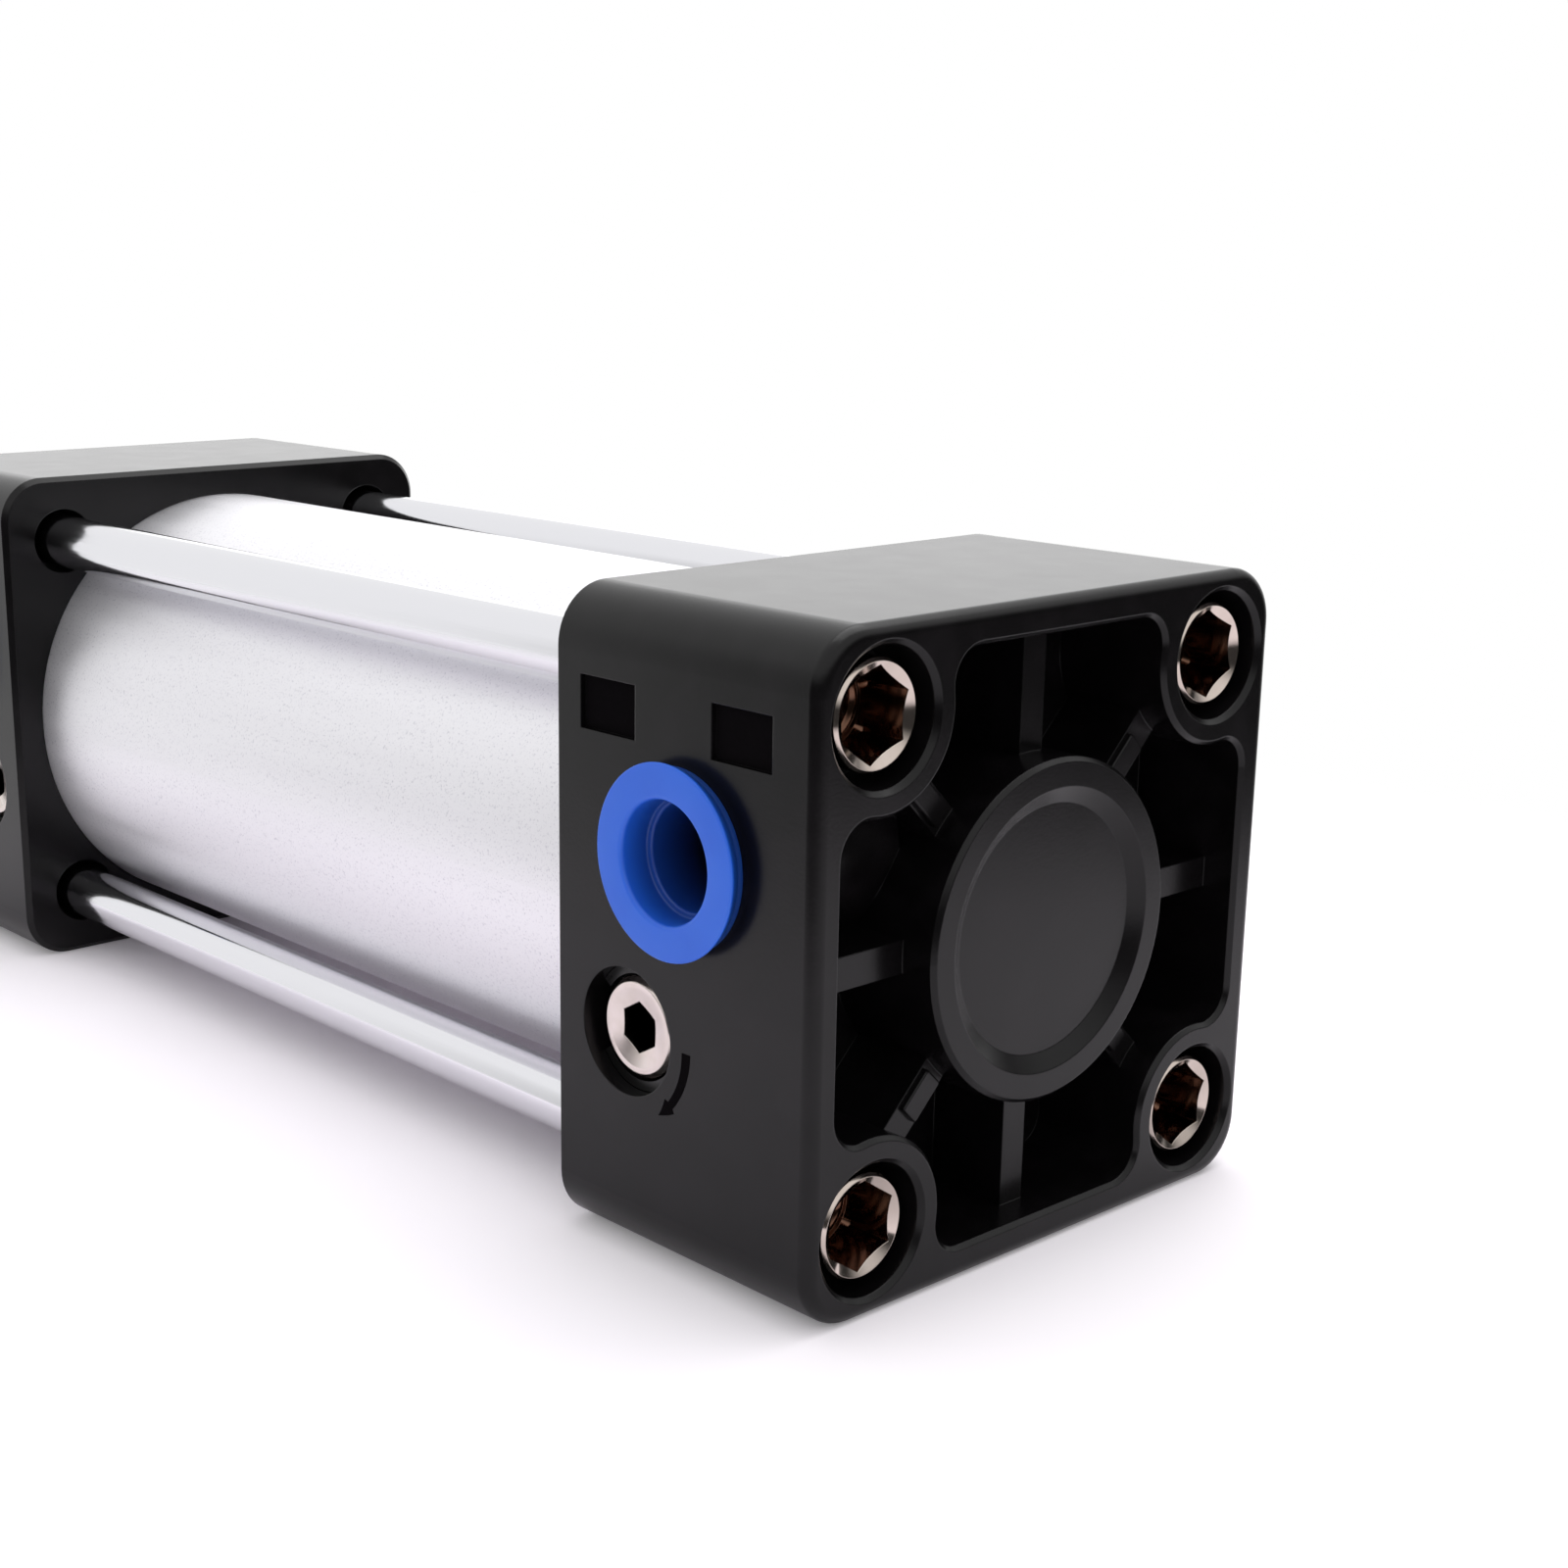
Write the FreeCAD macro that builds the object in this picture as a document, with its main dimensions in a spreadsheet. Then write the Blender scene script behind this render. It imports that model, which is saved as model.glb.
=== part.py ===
import FreeCAD, Part
import math
import os
import re
import Sketcher

# A tie-rod pneumatic cylinder lying along X. The origin is on the bore's axis, in the plane of
# the cap-end face; +X is the way the rod extends, the ports face +Y and Z is up. At rest the rod
# is drawn in. Each cover is modelled from its outer face inwards, and the rod cover is then
# turned end for end.

# Driving sizes in millimetres
SIZES = {
    # Barrel and piston travel
    "bore": "40",
    "barrel_wall": "2",
    "barrel_seat": "2",
    "stroke": "50",
    "end_gap": "0.5",
    "fit_gap": "0.05",
    "run_gap": "0.03",
    # Covers
    "cover_length": "27.5",
    "corner_margin": "6.5",
    "corner_radius": "4.5",
    "end_round": "1",
    "inner_edge": "0.5",
    "spigot_length": "8",
    "rim_wall": "2.6",
    "pocket_depth": "10",
    "blend_round": "2.5",
    "mouth_edge": "0.35",
    "rib_thickness": "2.5",
    "rib_drop": "3",
    "rib_count": "8",
    "hub_wall": "2.1",
    "hub_lip": "2.2",
    "hub_recess": "0.8",
    "hub_slope": "1.3",
    "chamber_floor": "8",
    "recess_length": "6",
    "recess_height": "4",
    "recess_depth": "0.5",
    "recess_level": "16.8",
    "recess_first": "7.35",
    "recess_second": "21.4",
    # Tie rods and their nuts
    "tie_rod_diameter": "6",
    "tie_rod_shank": "5.2",
    "tie_thread_length": "8",
    "rod_gap": "1.163",
    "tie_hole_gap": "0.25",
    "corner_count": "4",
    "nut_diameter": "8",
    "nut_gap": "0.2",
    "nut_recess": "1",
    "nut_length": "15",
    "nut_mouth_gap": "1",
    "nut_mouth_depth": "5",
    "nut_mouth_edge": "0.4",
    "nut_boss_wall": "2",
    "nut_socket": "6",
    "nut_socket_depth": "4",
    "nut_edge": "0.25",
    "nut_sink_depth": "0.43",
    "screw_bore": "5",
    "screw_depth": "4.5",
    # Ports and their dust plugs
    "port_inset": "13.75",
    "port_height": "7",
    "port_mouth": "13.16",
    "port_mouth_depth": "8",
    "port_bore": "11.44",
    "port_bore_depth": "6",
    "port_passage": "7",
    "port_wall": "1.6",
    "plug_gap": "0.08",
    "plug_flange": "14.6",
    "plug_flange_height": "1",
    "plug_stand": "0.45",
    "plug_shoulder": "0.3",
    "plug_edge": "0.3",
    "plug_skirt": "7.6",
    "plug_taper": "0.2",
    "plug_bore": "9",
    "plug_step": "0.5",
    "plug_step_depth": "2.5",
    "plug_floor": "1.2",
    # Cushion needles
    "needle_inset": "8.2",
    "needle_drop": "7.2",
    "needle_pocket": "9.8",
    "needle_pocket_depth": "3.5",
    "needle_recess": "1.05",
    "needle_thread": "7.8",
    "needle_thread_length": "7.5",
    "needle_shank": "5.8",
    "needle_shank_length": "3.8",
    "needle_tip": "2.2",
    "needle_tip_length": "2.5",
    "needle_travel_in": "0.5",
    "needle_stop_gap": "0.2",
    "needle_socket": "3.5",
    "needle_socket_depth": "2.6",
    "needle_dish": "6.2",
    "needle_dish_depth": "0.6",
    "needle_edge": "0.4",
    "needle_seal_depth": "0.9",
    "needle_seal_width": "1.2",
    "bleed_bore": "2.6",
    # Static rings and cushion seals
    "ring_depth": "2",
    "ring_width": "2.4",
    "ring_margin": "2.5",
    "cushion_seal_section": "2",
    "cushion_seal_width": "4",
    "cushion_lip": "1",
    # Piston, rod and what they carry
    "rod_diameter": "16",
    "tail_diameter": "10",
    "tail_stub": "1",
    "spear_wall": "2",
    "spear_gap": "1",
    "spear_length": "12",
    "spear_nose": "3",
    "spear_taper": "0.6",
    "piston_length": "21",
    "piston_gap": "0.3",
    "seal_land": "2",
    "seal_groove": "4.4",
    "seal_section": "4",
    "seal_notch": "1.6",
    "wear_width": "5.4",
    "wear_section": "2",
    "bore_seal_section": "1.6",
    "bore_seal_width": "2",
    "piston_nut_width": "16",
    "piston_nut_height": "5",
    "boss_length": "15",
    "boss_wall": "4",
    "boss_chamfer": "1",
    "boss_land": "1.5",
    "bush_wall": "2",
    "rod_seal_section": "4",
    "rod_seal_depth": "8",
    "rod_seal_recess": "0.6",
    "rod_seal_lip": "1.5",
    "rod_reach": "49",
    "rod_thread": "12",
    "rod_thread_length": "24",
    "rod_thread_root": "11.2",
    "rod_chamfer": "1",
    "flat_width": "14",
    "flat_length": "7",
    "flat_setback": "2",
    "rod_nut_width": "17",
    "rod_nut_height": "7",
    "rod_nut_setback": "2",
}

# Sizes worked out from the driving ones
BORE_R = "(bore / 2)"
BARREL_R = f"({BORE_R} + barrel_wall)"
SPIGOT_R = f"({BORE_R} - fit_gap)"
SPIGOT_END = "(cover_length + spigot_length)"
TIE = f"(({BARREL_R} + rod_gap + tie_rod_diameter / 2) / sqrt(2))"
HALF = f"({TIE} + corner_margin)"
RIM = f"({HALF} - rim_wall)"
SPAN = "(stroke + piston_length + 2 * (spigot_length + end_gap))"
LENGTH = f"(2 * cover_length + {SPAN})"
SPEAR_R = "(rod_diameter / 2 + spear_wall)"
CHAMBER_R = f"({SPEAR_R} + spear_gap)"
HUB_R = f"({CHAMBER_R} + hub_wall)"
SEAL_HOUSING_R = "(rod_diameter / 2 + rod_seal_section)"
BOSS_R = f"({SEAL_HOUSING_R} + boss_wall)"
BUSH_R = "(rod_diameter / 2 + bush_wall)"
NUT_MOUTH_R = "(nut_diameter / 2 + nut_mouth_gap)"
NUT_BOSS_R = f"({NUT_MOUTH_R} + nut_boss_wall)"
NUT_SEAT = "(nut_recess + nut_length)"
TIE_ROD_END = "(nut_recess + nut_socket_depth + screw_depth)"
PISTON_X = f"({SPIGOT_END} + end_gap)"
PISTON_R = f"({BORE_R} - piston_gap)"
TAIL_X = f"({PISTON_X} - spear_length - piston_nut_height - tail_stub)"
SHOULDER_X = f"({PISTON_X} + piston_length + spear_length)"
TIP_X = f"({LENGTH} + rod_reach)"
THREAD_X = f"({TIP_X} - rod_thread_length)"
ROD_NUT_X = f"({THREAD_X} + rod_nut_setback)"
ROD_NUT_END = f"({ROD_NUT_X} + rod_nut_height)"
RING_X = f"({SPIGOT_END} - ring_margin - ring_width)"
RING_FLOOR = f"({SPIGOT_R} - ring_depth)"
CUSHION_SEAL_X = f"({SPIGOT_END} - cushion_lip - cushion_seal_width)"
CUSHION_SEAL_R = f"({CHAMBER_R} + cushion_seal_section)"
NEEDLE_X = "(cover_length - needle_inset)"
NEEDLE_SHANK_END = "(needle_thread_length + needle_shank_length)"
NEEDLE_SEAT = f"(needle_recess + {NEEDLE_SHANK_END} + needle_travel_in + needle_stop_gap)"

TINY = 1e-6

doc = FreeCAD.newDocument("PneumaticCylinder")
sheet = doc.addObject("Spreadsheet::Sheet", "Sizes")
for row, (alias, text) in enumerate(SIZES.items(), start=1):
    sheet.set(f"A{row}", alias)
    sheet.set(f"B{row}", text)
    sheet.setAlias(f"B{row}", alias)
doc.recompute()

nodes = []


def sized(text):
    """An expression on the sheet's cells, from one written with the bare names of the sizes."""
    return re.sub(r"[a-z_]+", lambda word: f"Sizes.{word[0]}" if word[0] in SIZES else word[0], text)


def number(text):
    """The present value of such an expression, in millimetres."""
    return float(sheet.evalExpression(sized(text)))


def new_body(label):
    """An empty body that becomes a node of its own."""
    body = doc.addObject("PartDesign::Body", label)
    nodes.append(body)
    return body


def origin_of(body, role):
    """One of the body's own origin planes or axes."""
    return next(item for item in body.Origin.OriginFeatures if item.Role == role)


def attach(feature, body, role, lift="0", across="0", along="0"):
    """Set a sketch or primitive on an origin plane, moved along its normal and in the plane."""
    feature.AttachmentSupport = (origin_of(body, role), [""])
    feature.MapMode = "FlatFace"
    for axis, text in (("x", across), ("y", along), ("z", lift)):
        feature.setExpression(f"AttachmentOffset.Base.{axis}", sized(text))


def place(piece, x="0", y="0", z="0", axis=(0, 0, 1), angle=0):
    """Turn a finished piece about an axis through its own origin, then move it."""
    piece.Placement = FreeCAD.Placement(FreeCAD.Vector(), FreeCAD.Rotation(FreeCAD.Vector(*axis), angle))
    for name, text in (("x", x), ("y", y), ("z", z)):
        piece.setExpression(f"Placement.Base.{name}", sized(text))


def tie_point(sketch, geometry, vertex, across, along):
    """Hold a point of a sketch at its distances from the sketch's origin."""
    for kind, text in (("DistanceX", across), ("DistanceY", along)):
        rule = Sketcher.Constraint(kind, -1, 1, geometry, vertex, number(text))
        sketch.setExpression(f"Constraints[{sketch.addConstraint(rule)}]", sized(text))


def tie_radius(sketch, geometry, text):
    """Hold the radius of a circle or arc."""
    rule = Sketcher.Constraint("Radius", geometry, number(text))
    sketch.setExpression(f"Constraints[{sketch.addConstraint(rule)}]", sized(text))


def outline(body, name, role, points, lift="0"):
    """A closed polygon on an origin plane, with every corner held by the sheet."""
    sketch = body.newObject("Sketcher::SketchObject", name)
    attach(sketch, body, role, lift)
    corners = [FreeCAD.Vector(number(across), number(along), 0) for across, along in points]
    followers = [(index + 1) % len(corners) for index in range(len(corners))]
    for index, follower in enumerate(followers):
        sketch.addGeometry(Part.LineSegment(corners[index], corners[follower]), False)
    for index, follower in enumerate(followers):
        sketch.addConstraint(Sketcher.Constraint("Coincident", index, 2, follower, 1))
        tie_point(sketch, index, 1, *points[index])
    return sketch


def rectangle(low, high, bottom, top):
    """The corners of an upright rectangle."""
    return [(low, bottom), (high, bottom), (high, top), (low, top)]


def hexagon(width):
    """The corners of a regular hexagon of this width across flats, with a corner up."""
    side, reach = f"({width}) / 2", f"({width}) / sqrt(3)"
    half_reach = f"{reach} / 2"
    right = [("0", reach), (side, half_reach), (side, f"0 - {half_reach}")]
    left = [("0", f"0 - {reach}"), (f"0 - {side}", f"0 - {half_reach}"), (f"0 - {side}", half_reach)]
    return right + left


def pad(body, name, sketch, length):
    """Raise a sketch along its normal."""
    feature = body.newObject("PartDesign::Pad", name)
    feature.Profile = sketch
    feature.setExpression("Length", sized(length))
    return feature


def pocket(body, name, sketch, depth):
    """Sink a sketch along its normal, into the piece."""
    feature = body.newObject("PartDesign::Pocket", name)
    feature.Profile = sketch
    feature.Reversed = True
    feature.setExpression("Length", sized(depth))
    return feature


def spun(body, kind, name, points):
    """A profile of (distance along X, radius) points turned about the X axis."""
    sketch = outline(body, f"{name}_profile", "XY_Plane", points)
    feature = body.newObject(kind, name)
    feature.Profile = sketch
    feature.ReferenceAxis = (sketch, ["H_Axis"])
    feature.Angle = 360
    return feature


def turned(label, points):
    """A piece turned on a lathe."""
    body = new_body(label)
    spun(body, "PartDesign::Revolution", f"{label}_turned", points)
    return body


def turned_cut(body, name, points):
    """A groove or bore about the X axis."""
    return spun(body, "PartDesign::Groove", name, points)


def ring(label, start, width, inner, outer):
    """A ring of rectangular section."""
    return turned(label, rectangle(start, f"{start} + {width}", inner, outer))


def round_bar(body, kind, name, role, radius, start, height, across="0", along="0"):
    """A cylinder raised or cut square to an origin plane, from a distance along its normal."""
    feature = body.newObject(kind, name)
    attach(feature, body, role, start, across, along)
    feature.setExpression("Radius", sized(radius))
    feature.setExpression("Height", sized(height))
    return feature


def countersink(body, name, radius, floor_radius, start, depth, across="0", along="0"):
    """A cone cut square to the YZ plane, wide at its start."""
    feature = body.newObject("PartDesign::SubtractiveCone", name)
    attach(feature, body, "YZ_Plane", start, across, along)
    feature.setExpression("Radius1", sized(radius))
    feature.setExpression("Radius2", sized(floor_radius))
    feature.setExpression("Height", sized(depth))
    return feature


def patterned(body, name, count, originals=()):
    """Repeat some features, or with none named the whole piece, evenly round the X axis."""
    doc.recompute()
    feature = body.newObject("PartDesign::PolarPattern", name)
    if originals:
        feature.Originals = originals
    else:
        feature.TransformMode = "Whole shape"
    feature.Axis = (origin_of(body, "X_Axis"), [""])
    feature.Angle = 360
    feature.setExpression("Occurrences", sized(count))
    body.Tip = feature
    return feature


def eased(body, kind, name, size, chosen):
    """Round or chamfer the edges of the body that pass a test."""
    doc.recompute()
    base = body.Tip
    numbered = enumerate(base.Shape.Edges, start=1)
    edges = [f"Edge{index}" for index, edge in numbered if chosen(edge.BoundBox)]
    feature = body.newObject(f"PartDesign::{kind}", name)
    feature.Base = (base, edges)
    feature.setExpression("Radius" if kind == "Fillet" else "Size", sized(size))
    return feature


def flat_at(box, level):
    """Whether an edge lies in the plane x = level."""
    return box.XLength < TINY and abs(box.XMin - level) < TINY


def face_pocket(body, name, hub):
    """The pocket in a cover's end face: straight along the rim, bowed in round each corner boss and
    left whole round the hub."""
    sketch = body.newObject("Sketcher::SketchObject", name)
    attach(sketch, body, "YZ_Plane")
    tie, rim, boss = number(TIE), number(RIM), number(NUT_BOSS_R)
    end = tie - math.sqrt(boss ** 2 - (rim - tie) ** 2)
    start_angle = math.atan2(rim - tie, end - tie)
    inward_angle = math.radians(180 + 45)
    sweep = 2 * (inward_angle - start_angle)
    corners = [("", ""), ("0 - ", ""), ("0 - ", "0 - "), ("", "0 - ")]
    for index in range(len(corners)):
        turn = FreeCAD.Rotation(FreeCAD.Vector(0, 0, 1), 90 * index)
        side = [turn.multVec(FreeCAD.Vector(rim, level, 0)) for level in (-end, end)]
        sketch.addGeometry(Part.LineSegment(*side), False)
        circle = Part.Circle(turn.multVec(FreeCAD.Vector(tie, tie, 0)), FreeCAD.Vector(0, 0, 1), boss)
        first = start_angle + math.radians(90 * index)
        sketch.addGeometry(Part.ArcOfCircle(circle, first, first + sweep), False)
    for index, (across_sign, along_sign) in enumerate(corners):
        line, arc, next_line = 2 * index, 2 * index + 1, (2 * index + 2) % (2 * len(corners))
        sketch.addConstraint(Sketcher.Constraint("Coincident", line, 2, arc, 2))
        sketch.addConstraint(Sketcher.Constraint("Coincident", arc, 1, next_line, 1))
        tie_point(sketch, arc, 3, f"{across_sign}{TIE}", f"{along_sign}{TIE}")
        tie_radius(sketch, arc, NUT_BOSS_R)
        upright = index % 2 == 0
        sketch.addConstraint(Sketcher.Constraint("Vertical" if upright else "Horizontal", line))
        level = f"{across_sign if upright else along_sign}{RIM}"
        kind = "DistanceX" if upright else "DistanceY"
        rule = Sketcher.Constraint(kind, -1, 1, line, 1, number(level))
        sketch.setExpression(f"Constraints[{sketch.addConstraint(rule)}]", sized(level))
    middle = sketch.addGeometry(Part.Circle(FreeCAD.Vector(), FreeCAD.Vector(0, 0, 1), number(hub)), False)
    tie_point(sketch, middle, 3, "0", "0")
    tie_radius(sketch, middle, hub)
    return sketch


def cover(label, hub, side):
    """An end cover: a rounded block with a spigot for the barrel, a ribbed pocket in its face, the
    cushion chamber, the seats of the tie-rod nuts, the port and the cushion needle's bores. side is
    the sign of the port's height before the cover is turned into place."""
    body = new_body(label)
    square = rectangle(f"0 - {HALF}", HALF, f"0 - {HALF}", HALF)
    pad(body, f"{label}_block", outline(body, f"{label}_square", "YZ_Plane", square), "cover_length")
    length = number("cover_length")
    eased(body, "Fillet", f"{label}_corners", "corner_radius", lambda box: box.XLength > length / 2)
    eased(body, "Fillet", f"{label}_outer_end", "end_round", lambda box: flat_at(box, 0))
    eased(body, "Chamfer", f"{label}_inner_end", "inner_edge", lambda box: flat_at(box, length))

    round_bar(body, "PartDesign::AdditiveCylinder", f"{label}_spigot", "YZ_Plane", SPIGOT_R,
              "cover_length / 2", "cover_length / 2 + spigot_length")

    pocket(body, f"{label}_pocket", face_pocket(body, f"{label}_pocket_outline", hub), "pocket_depth")
    depth, rim = number("pocket_depth"), number(RIM)
    eased(body, "Fillet", f"{label}_blends", "blend_round",
          lambda box: abs(box.XLength - depth) < TINY and box.YLength + box.ZLength < TINY
          and abs(max(abs(box.YMin), abs(box.ZMin)) - rim) < TINY)
    eased(body, "Chamfer", f"{label}_mouth", "mouth_edge",
          lambda box: flat_at(box, 0) and max(box.YMax, box.ZMax, -box.YMin, -box.ZMin) < rim + TINY)

    rib = rectangle("0 - rib_thickness / 2", "rib_thickness / 2",
                    f"{hub} - rib_thickness / 2", f"{RIM} + rib_thickness / 2")
    rib_sketch = outline(body, f"{label}_rib_outline", "YZ_Plane", rib, "rib_drop")
    first_rib = pad(body, f"{label}_rib", rib_sketch, "pocket_depth - rib_drop")
    patterned(body, f"{label}_ribs", "rib_count", [first_rib])

    port = {"across": "port_inset", "along": f"{side}port_height"}
    port_boss_start = f"rim_wall / 2 - {HALF}"
    port_boss_length = f"{HALF} - rim_wall / 2 - {CHAMBER_R}"
    round_bar(body, "PartDesign::AdditiveCylinder", f"{label}_port_boss", "XZ_Plane",
              "port_mouth / 2 + port_wall", port_boss_start, port_boss_length, **port)

    corner = {"across": TIE, "along": TIE}
    cut = "PartDesign::SubtractiveCylinder"
    seats = [
        countersink(body, f"{label}_nut_edge", f"{NUT_MOUTH_R} + nut_mouth_edge", NUT_MOUTH_R, "0",
                    "nut_mouth_edge", **corner),
        round_bar(body, cut, f"{label}_nut_mouth", "YZ_Plane", NUT_MOUTH_R, "0", "nut_mouth_depth",
                  **corner),
        round_bar(body, cut, f"{label}_nut_bore", "YZ_Plane", "nut_diameter / 2 + nut_gap", "0", NUT_SEAT,
                  **corner),
        round_bar(body, cut, f"{label}_tie_hole", "YZ_Plane", "tie_rod_diameter / 2 + tie_hole_gap", "0",
                  "cover_length", **corner),
    ]
    patterned(body, f"{label}_nut_seats", "corner_count", seats)

    turned_cut(body, f"{label}_barrel_seat", rectangle("cover_length - barrel_seat", "cover_length",
                                                       SPIGOT_R, f"{BARREL_R} + fit_gap"))
    turned_cut(body, f"{label}_ring_groove", rectangle(RING_X, f"{RING_X} + ring_width",
                                                       RING_FLOOR, f"{SPIGOT_R} + fit_gap"))
    seal_end = f"{CUSHION_SEAL_X} + cushion_seal_width"
    turned_cut(body, f"{label}_chamber", [
        ("chamber_floor", "0"), (SPIGOT_END, "0"), (SPIGOT_END, CHAMBER_R), (seal_end, CHAMBER_R),
        (seal_end, CUSHION_SEAL_R), (CUSHION_SEAL_X, CUSHION_SEAL_R), (CUSHION_SEAL_X, CHAMBER_R),
        ("chamber_floor", CHAMBER_R)])

    surface = f"0 - {HALF}"
    port_floor = "port_mouth_depth + port_bore_depth"
    for name, radius, reach in (("mouth", "port_mouth / 2", "port_mouth_depth"),
                                ("bore", "port_bore / 2", port_floor),
                                ("passage", "port_passage / 2", HALF)):
        round_bar(body, cut, f"{label}_port_{name}", "XZ_Plane", radius, surface, reach, **port)

    needle_bore = {"across": NEEDLE_X, "along": "needle_drop" if side else "0 - needle_drop"}
    thread_end = "needle_recess + needle_thread_length + needle_travel_in + needle_stop_gap"
    for name, radius, reach in (("pocket", "needle_pocket / 2", "needle_pocket_depth"),
                                ("thread", "needle_thread / 2 + fit_gap", thread_end),
                                ("shank", "needle_shank / 2 + 2 * fit_gap", NEEDLE_SEAT),
                                ("bleed", "bleed_bore / 2", HALF)):
        round_bar(body, cut, f"{label}_needle_{name}", "XZ_Plane", radius, surface, reach, **needle_bore)
    drilling = f"sqrt((({CUSHION_SEAL_R} + {RING_FLOOR}) / 2)^2 - needle_drop^2)"
    round_bar(body, cut, f"{label}_needle_drilling", "YZ_Plane", "bleed_bore / 2", NEEDLE_X,
              f"{SPIGOT_END} - {NEEDLE_X}", across=drilling, along=needle_bore["along"])
    return body


def tie_nuts(label):
    """Four round nuts with hexagon sockets, threaded for a screw outside and the tie rod inside."""
    body = new_body(label)
    corner = {"across": TIE, "along": TIE}
    cut = "PartDesign::SubtractiveCylinder"
    socket = [(f"{across} + {TIE}", f"{along} + {TIE}") for across, along in hexagon("nut_socket")]
    round_bar(body, "PartDesign::AdditiveCylinder", f"{label}_sleeve", "YZ_Plane", "nut_diameter / 2",
              "nut_recess", "nut_length", **corner)
    round_bar(body, cut, f"{label}_screw", "YZ_Plane", "screw_bore / 2", "nut_recess", "nut_length",
              **corner)
    round_bar(body, cut, f"{label}_tie", "YZ_Plane", "tie_rod_diameter / 2", TIE_ROD_END,
              f"{NUT_SEAT} - {TIE_ROD_END}", **corner)
    socket_sketch = outline(body, f"{label}_hexagon", "YZ_Plane", socket, "nut_recess")
    pocket(body, f"{label}_socket", socket_sketch, "nut_socket_depth")
    countersink(body, f"{label}_countersink", "nut_diameter / 2 - nut_edge", "nut_socket / 2", "nut_recess",
                "nut_sink_depth", **corner)
    patterned(body, f"{label}_four", "corner_count")
    return body


def needle(label):
    """A cushion needle, drawn along X from its head: threaded head with a dished hexagon socket,
    plain shank with a ring groove, and a tapered tip."""
    head, shank, tip = "needle_thread / 2", "needle_shank / 2", "needle_tip / 2"
    groove_start = "needle_thread_length + needle_shank_length / 2 - needle_seal_width / 2"
    groove_end = f"{groove_start} + needle_seal_width"
    groove = f"{shank} - needle_seal_depth"
    body = turned(label, [
        ("0", "0"), ("0", f"{head} - needle_edge"), ("needle_edge", head),
        ("needle_thread_length", head), ("needle_thread_length", shank), (groove_start, shank),
        (groove_start, groove), (groove_end, groove), (groove_end, shank), (NEEDLE_SHANK_END, shank),
        (NEEDLE_SHANK_END, tip), (f"{NEEDLE_SHANK_END} + needle_tip_length", f"{tip} / 2"),
        (f"{NEEDLE_SHANK_END} + needle_tip_length", "0")])
    turned_cut(body, f"{label}_dish", [("0", "0"), ("0", "needle_dish / 2"), ("needle_dish_depth", "0")])
    pocket(body, f"{label}_socket", outline(body, f"{label}_hexagon", "YZ_Plane", hexagon("needle_socket")),
           "needle_socket_depth")
    return body


def needle_seal(label):
    """The ring in a needle's groove, drawn along X from the needle's head."""
    start = "needle_thread_length + needle_shank_length / 2 - needle_seal_width / 2 + fit_gap"
    return ring(label, start, "needle_seal_width - 2 * fit_gap",
                "needle_shank / 2 - needle_seal_depth + fit_gap", "needle_shank / 2 + fit_gap")


def port_plug(label):
    """A moulded dust plug, drawn along X from the cover's face: a flange that stands off the face on a
    shoulder, a tapered skirt in the port's mouth, and a blind stepped cup open to the outside."""
    flange, cup = "plug_flange / 2", "plug_bore / 2"
    skirt = "port_mouth / 2 - plug_gap"
    shoulder = "port_mouth / 2 + plug_shoulder"
    under = "0 - plug_stand"
    top = f"{under} - plug_flange_height"
    step = f"{top} + plug_step_depth"
    floor = "plug_skirt - plug_floor"
    return turned(label, [
        (top, cup), (top, f"{flange} - plug_edge"), (f"{top} + plug_edge", flange), (under, flange),
        (under, shoulder), ("0", shoulder), ("0", skirt), ("plug_skirt", f"{skirt} - plug_taper"),
        ("plug_skirt", "0"), (floor, "0"), (floor, f"{cup} - plug_step"), (step, f"{cup} - plug_step"),
        (step, cup)])


def hexagon_nut(label, start, width, height, hole):
    """A hexagon nut on the X axis, with its corners turned off at both faces."""
    body = new_body(label)
    hexagon_sketch = outline(body, f"{label}_hexagon", "YZ_Plane", hexagon(width), start)
    pad(body, f"{label}_blank", hexagon_sketch, height)
    round_bar(body, "PartDesign::SubtractiveCylinder", f"{label}_hole", "YZ_Plane", hole, start, height)
    corner, flat = f"{width} / sqrt(3)", f"{width} / 2"
    slope = f"({corner} - {flat}) / 2"
    end = f"{start} + {height}"
    turned_cut(body, f"{label}_near", [(start, flat), (f"{start} + {slope}", corner), (start, corner)])
    turned_cut(body, f"{label}_far", [(end, flat), (end, corner), (f"{end} - {slope}", corner)])
    return body


def spear(label, root, way):
    """A cushion spear on the rod's tail: from its root at the piston it runs one way and narrows at
    the nose."""
    nose = f"{root} {way} spear_length"
    shoulder = f"{root} {way} (spear_length - spear_nose)"
    hole = "tail_diameter / 2"
    return turned(label, [(root, hole), (root, SPEAR_R), (shoulder, SPEAR_R),
                          (nose, f"{SPEAR_R} - spear_taper"), (nose, hole)])


def lip_seal(label, mouth, way):
    """A piston lip seal: its notched mouth opens to the pressure side, and it runs one way from there."""
    inner = f"{PISTON_R} - seal_section + fit_gap"
    outer = f"{BORE_R} - run_gap"
    back = f"{mouth} {way} (seal_groove - 2 * fit_gap)"
    notch = f"{mouth} {way} seal_notch"
    return turned(label, [(mouth, inner), (notch, f"({inner} + {outer}) / 2"), (mouth, outer),
                          (back, outer), (back, inner)])


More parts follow.
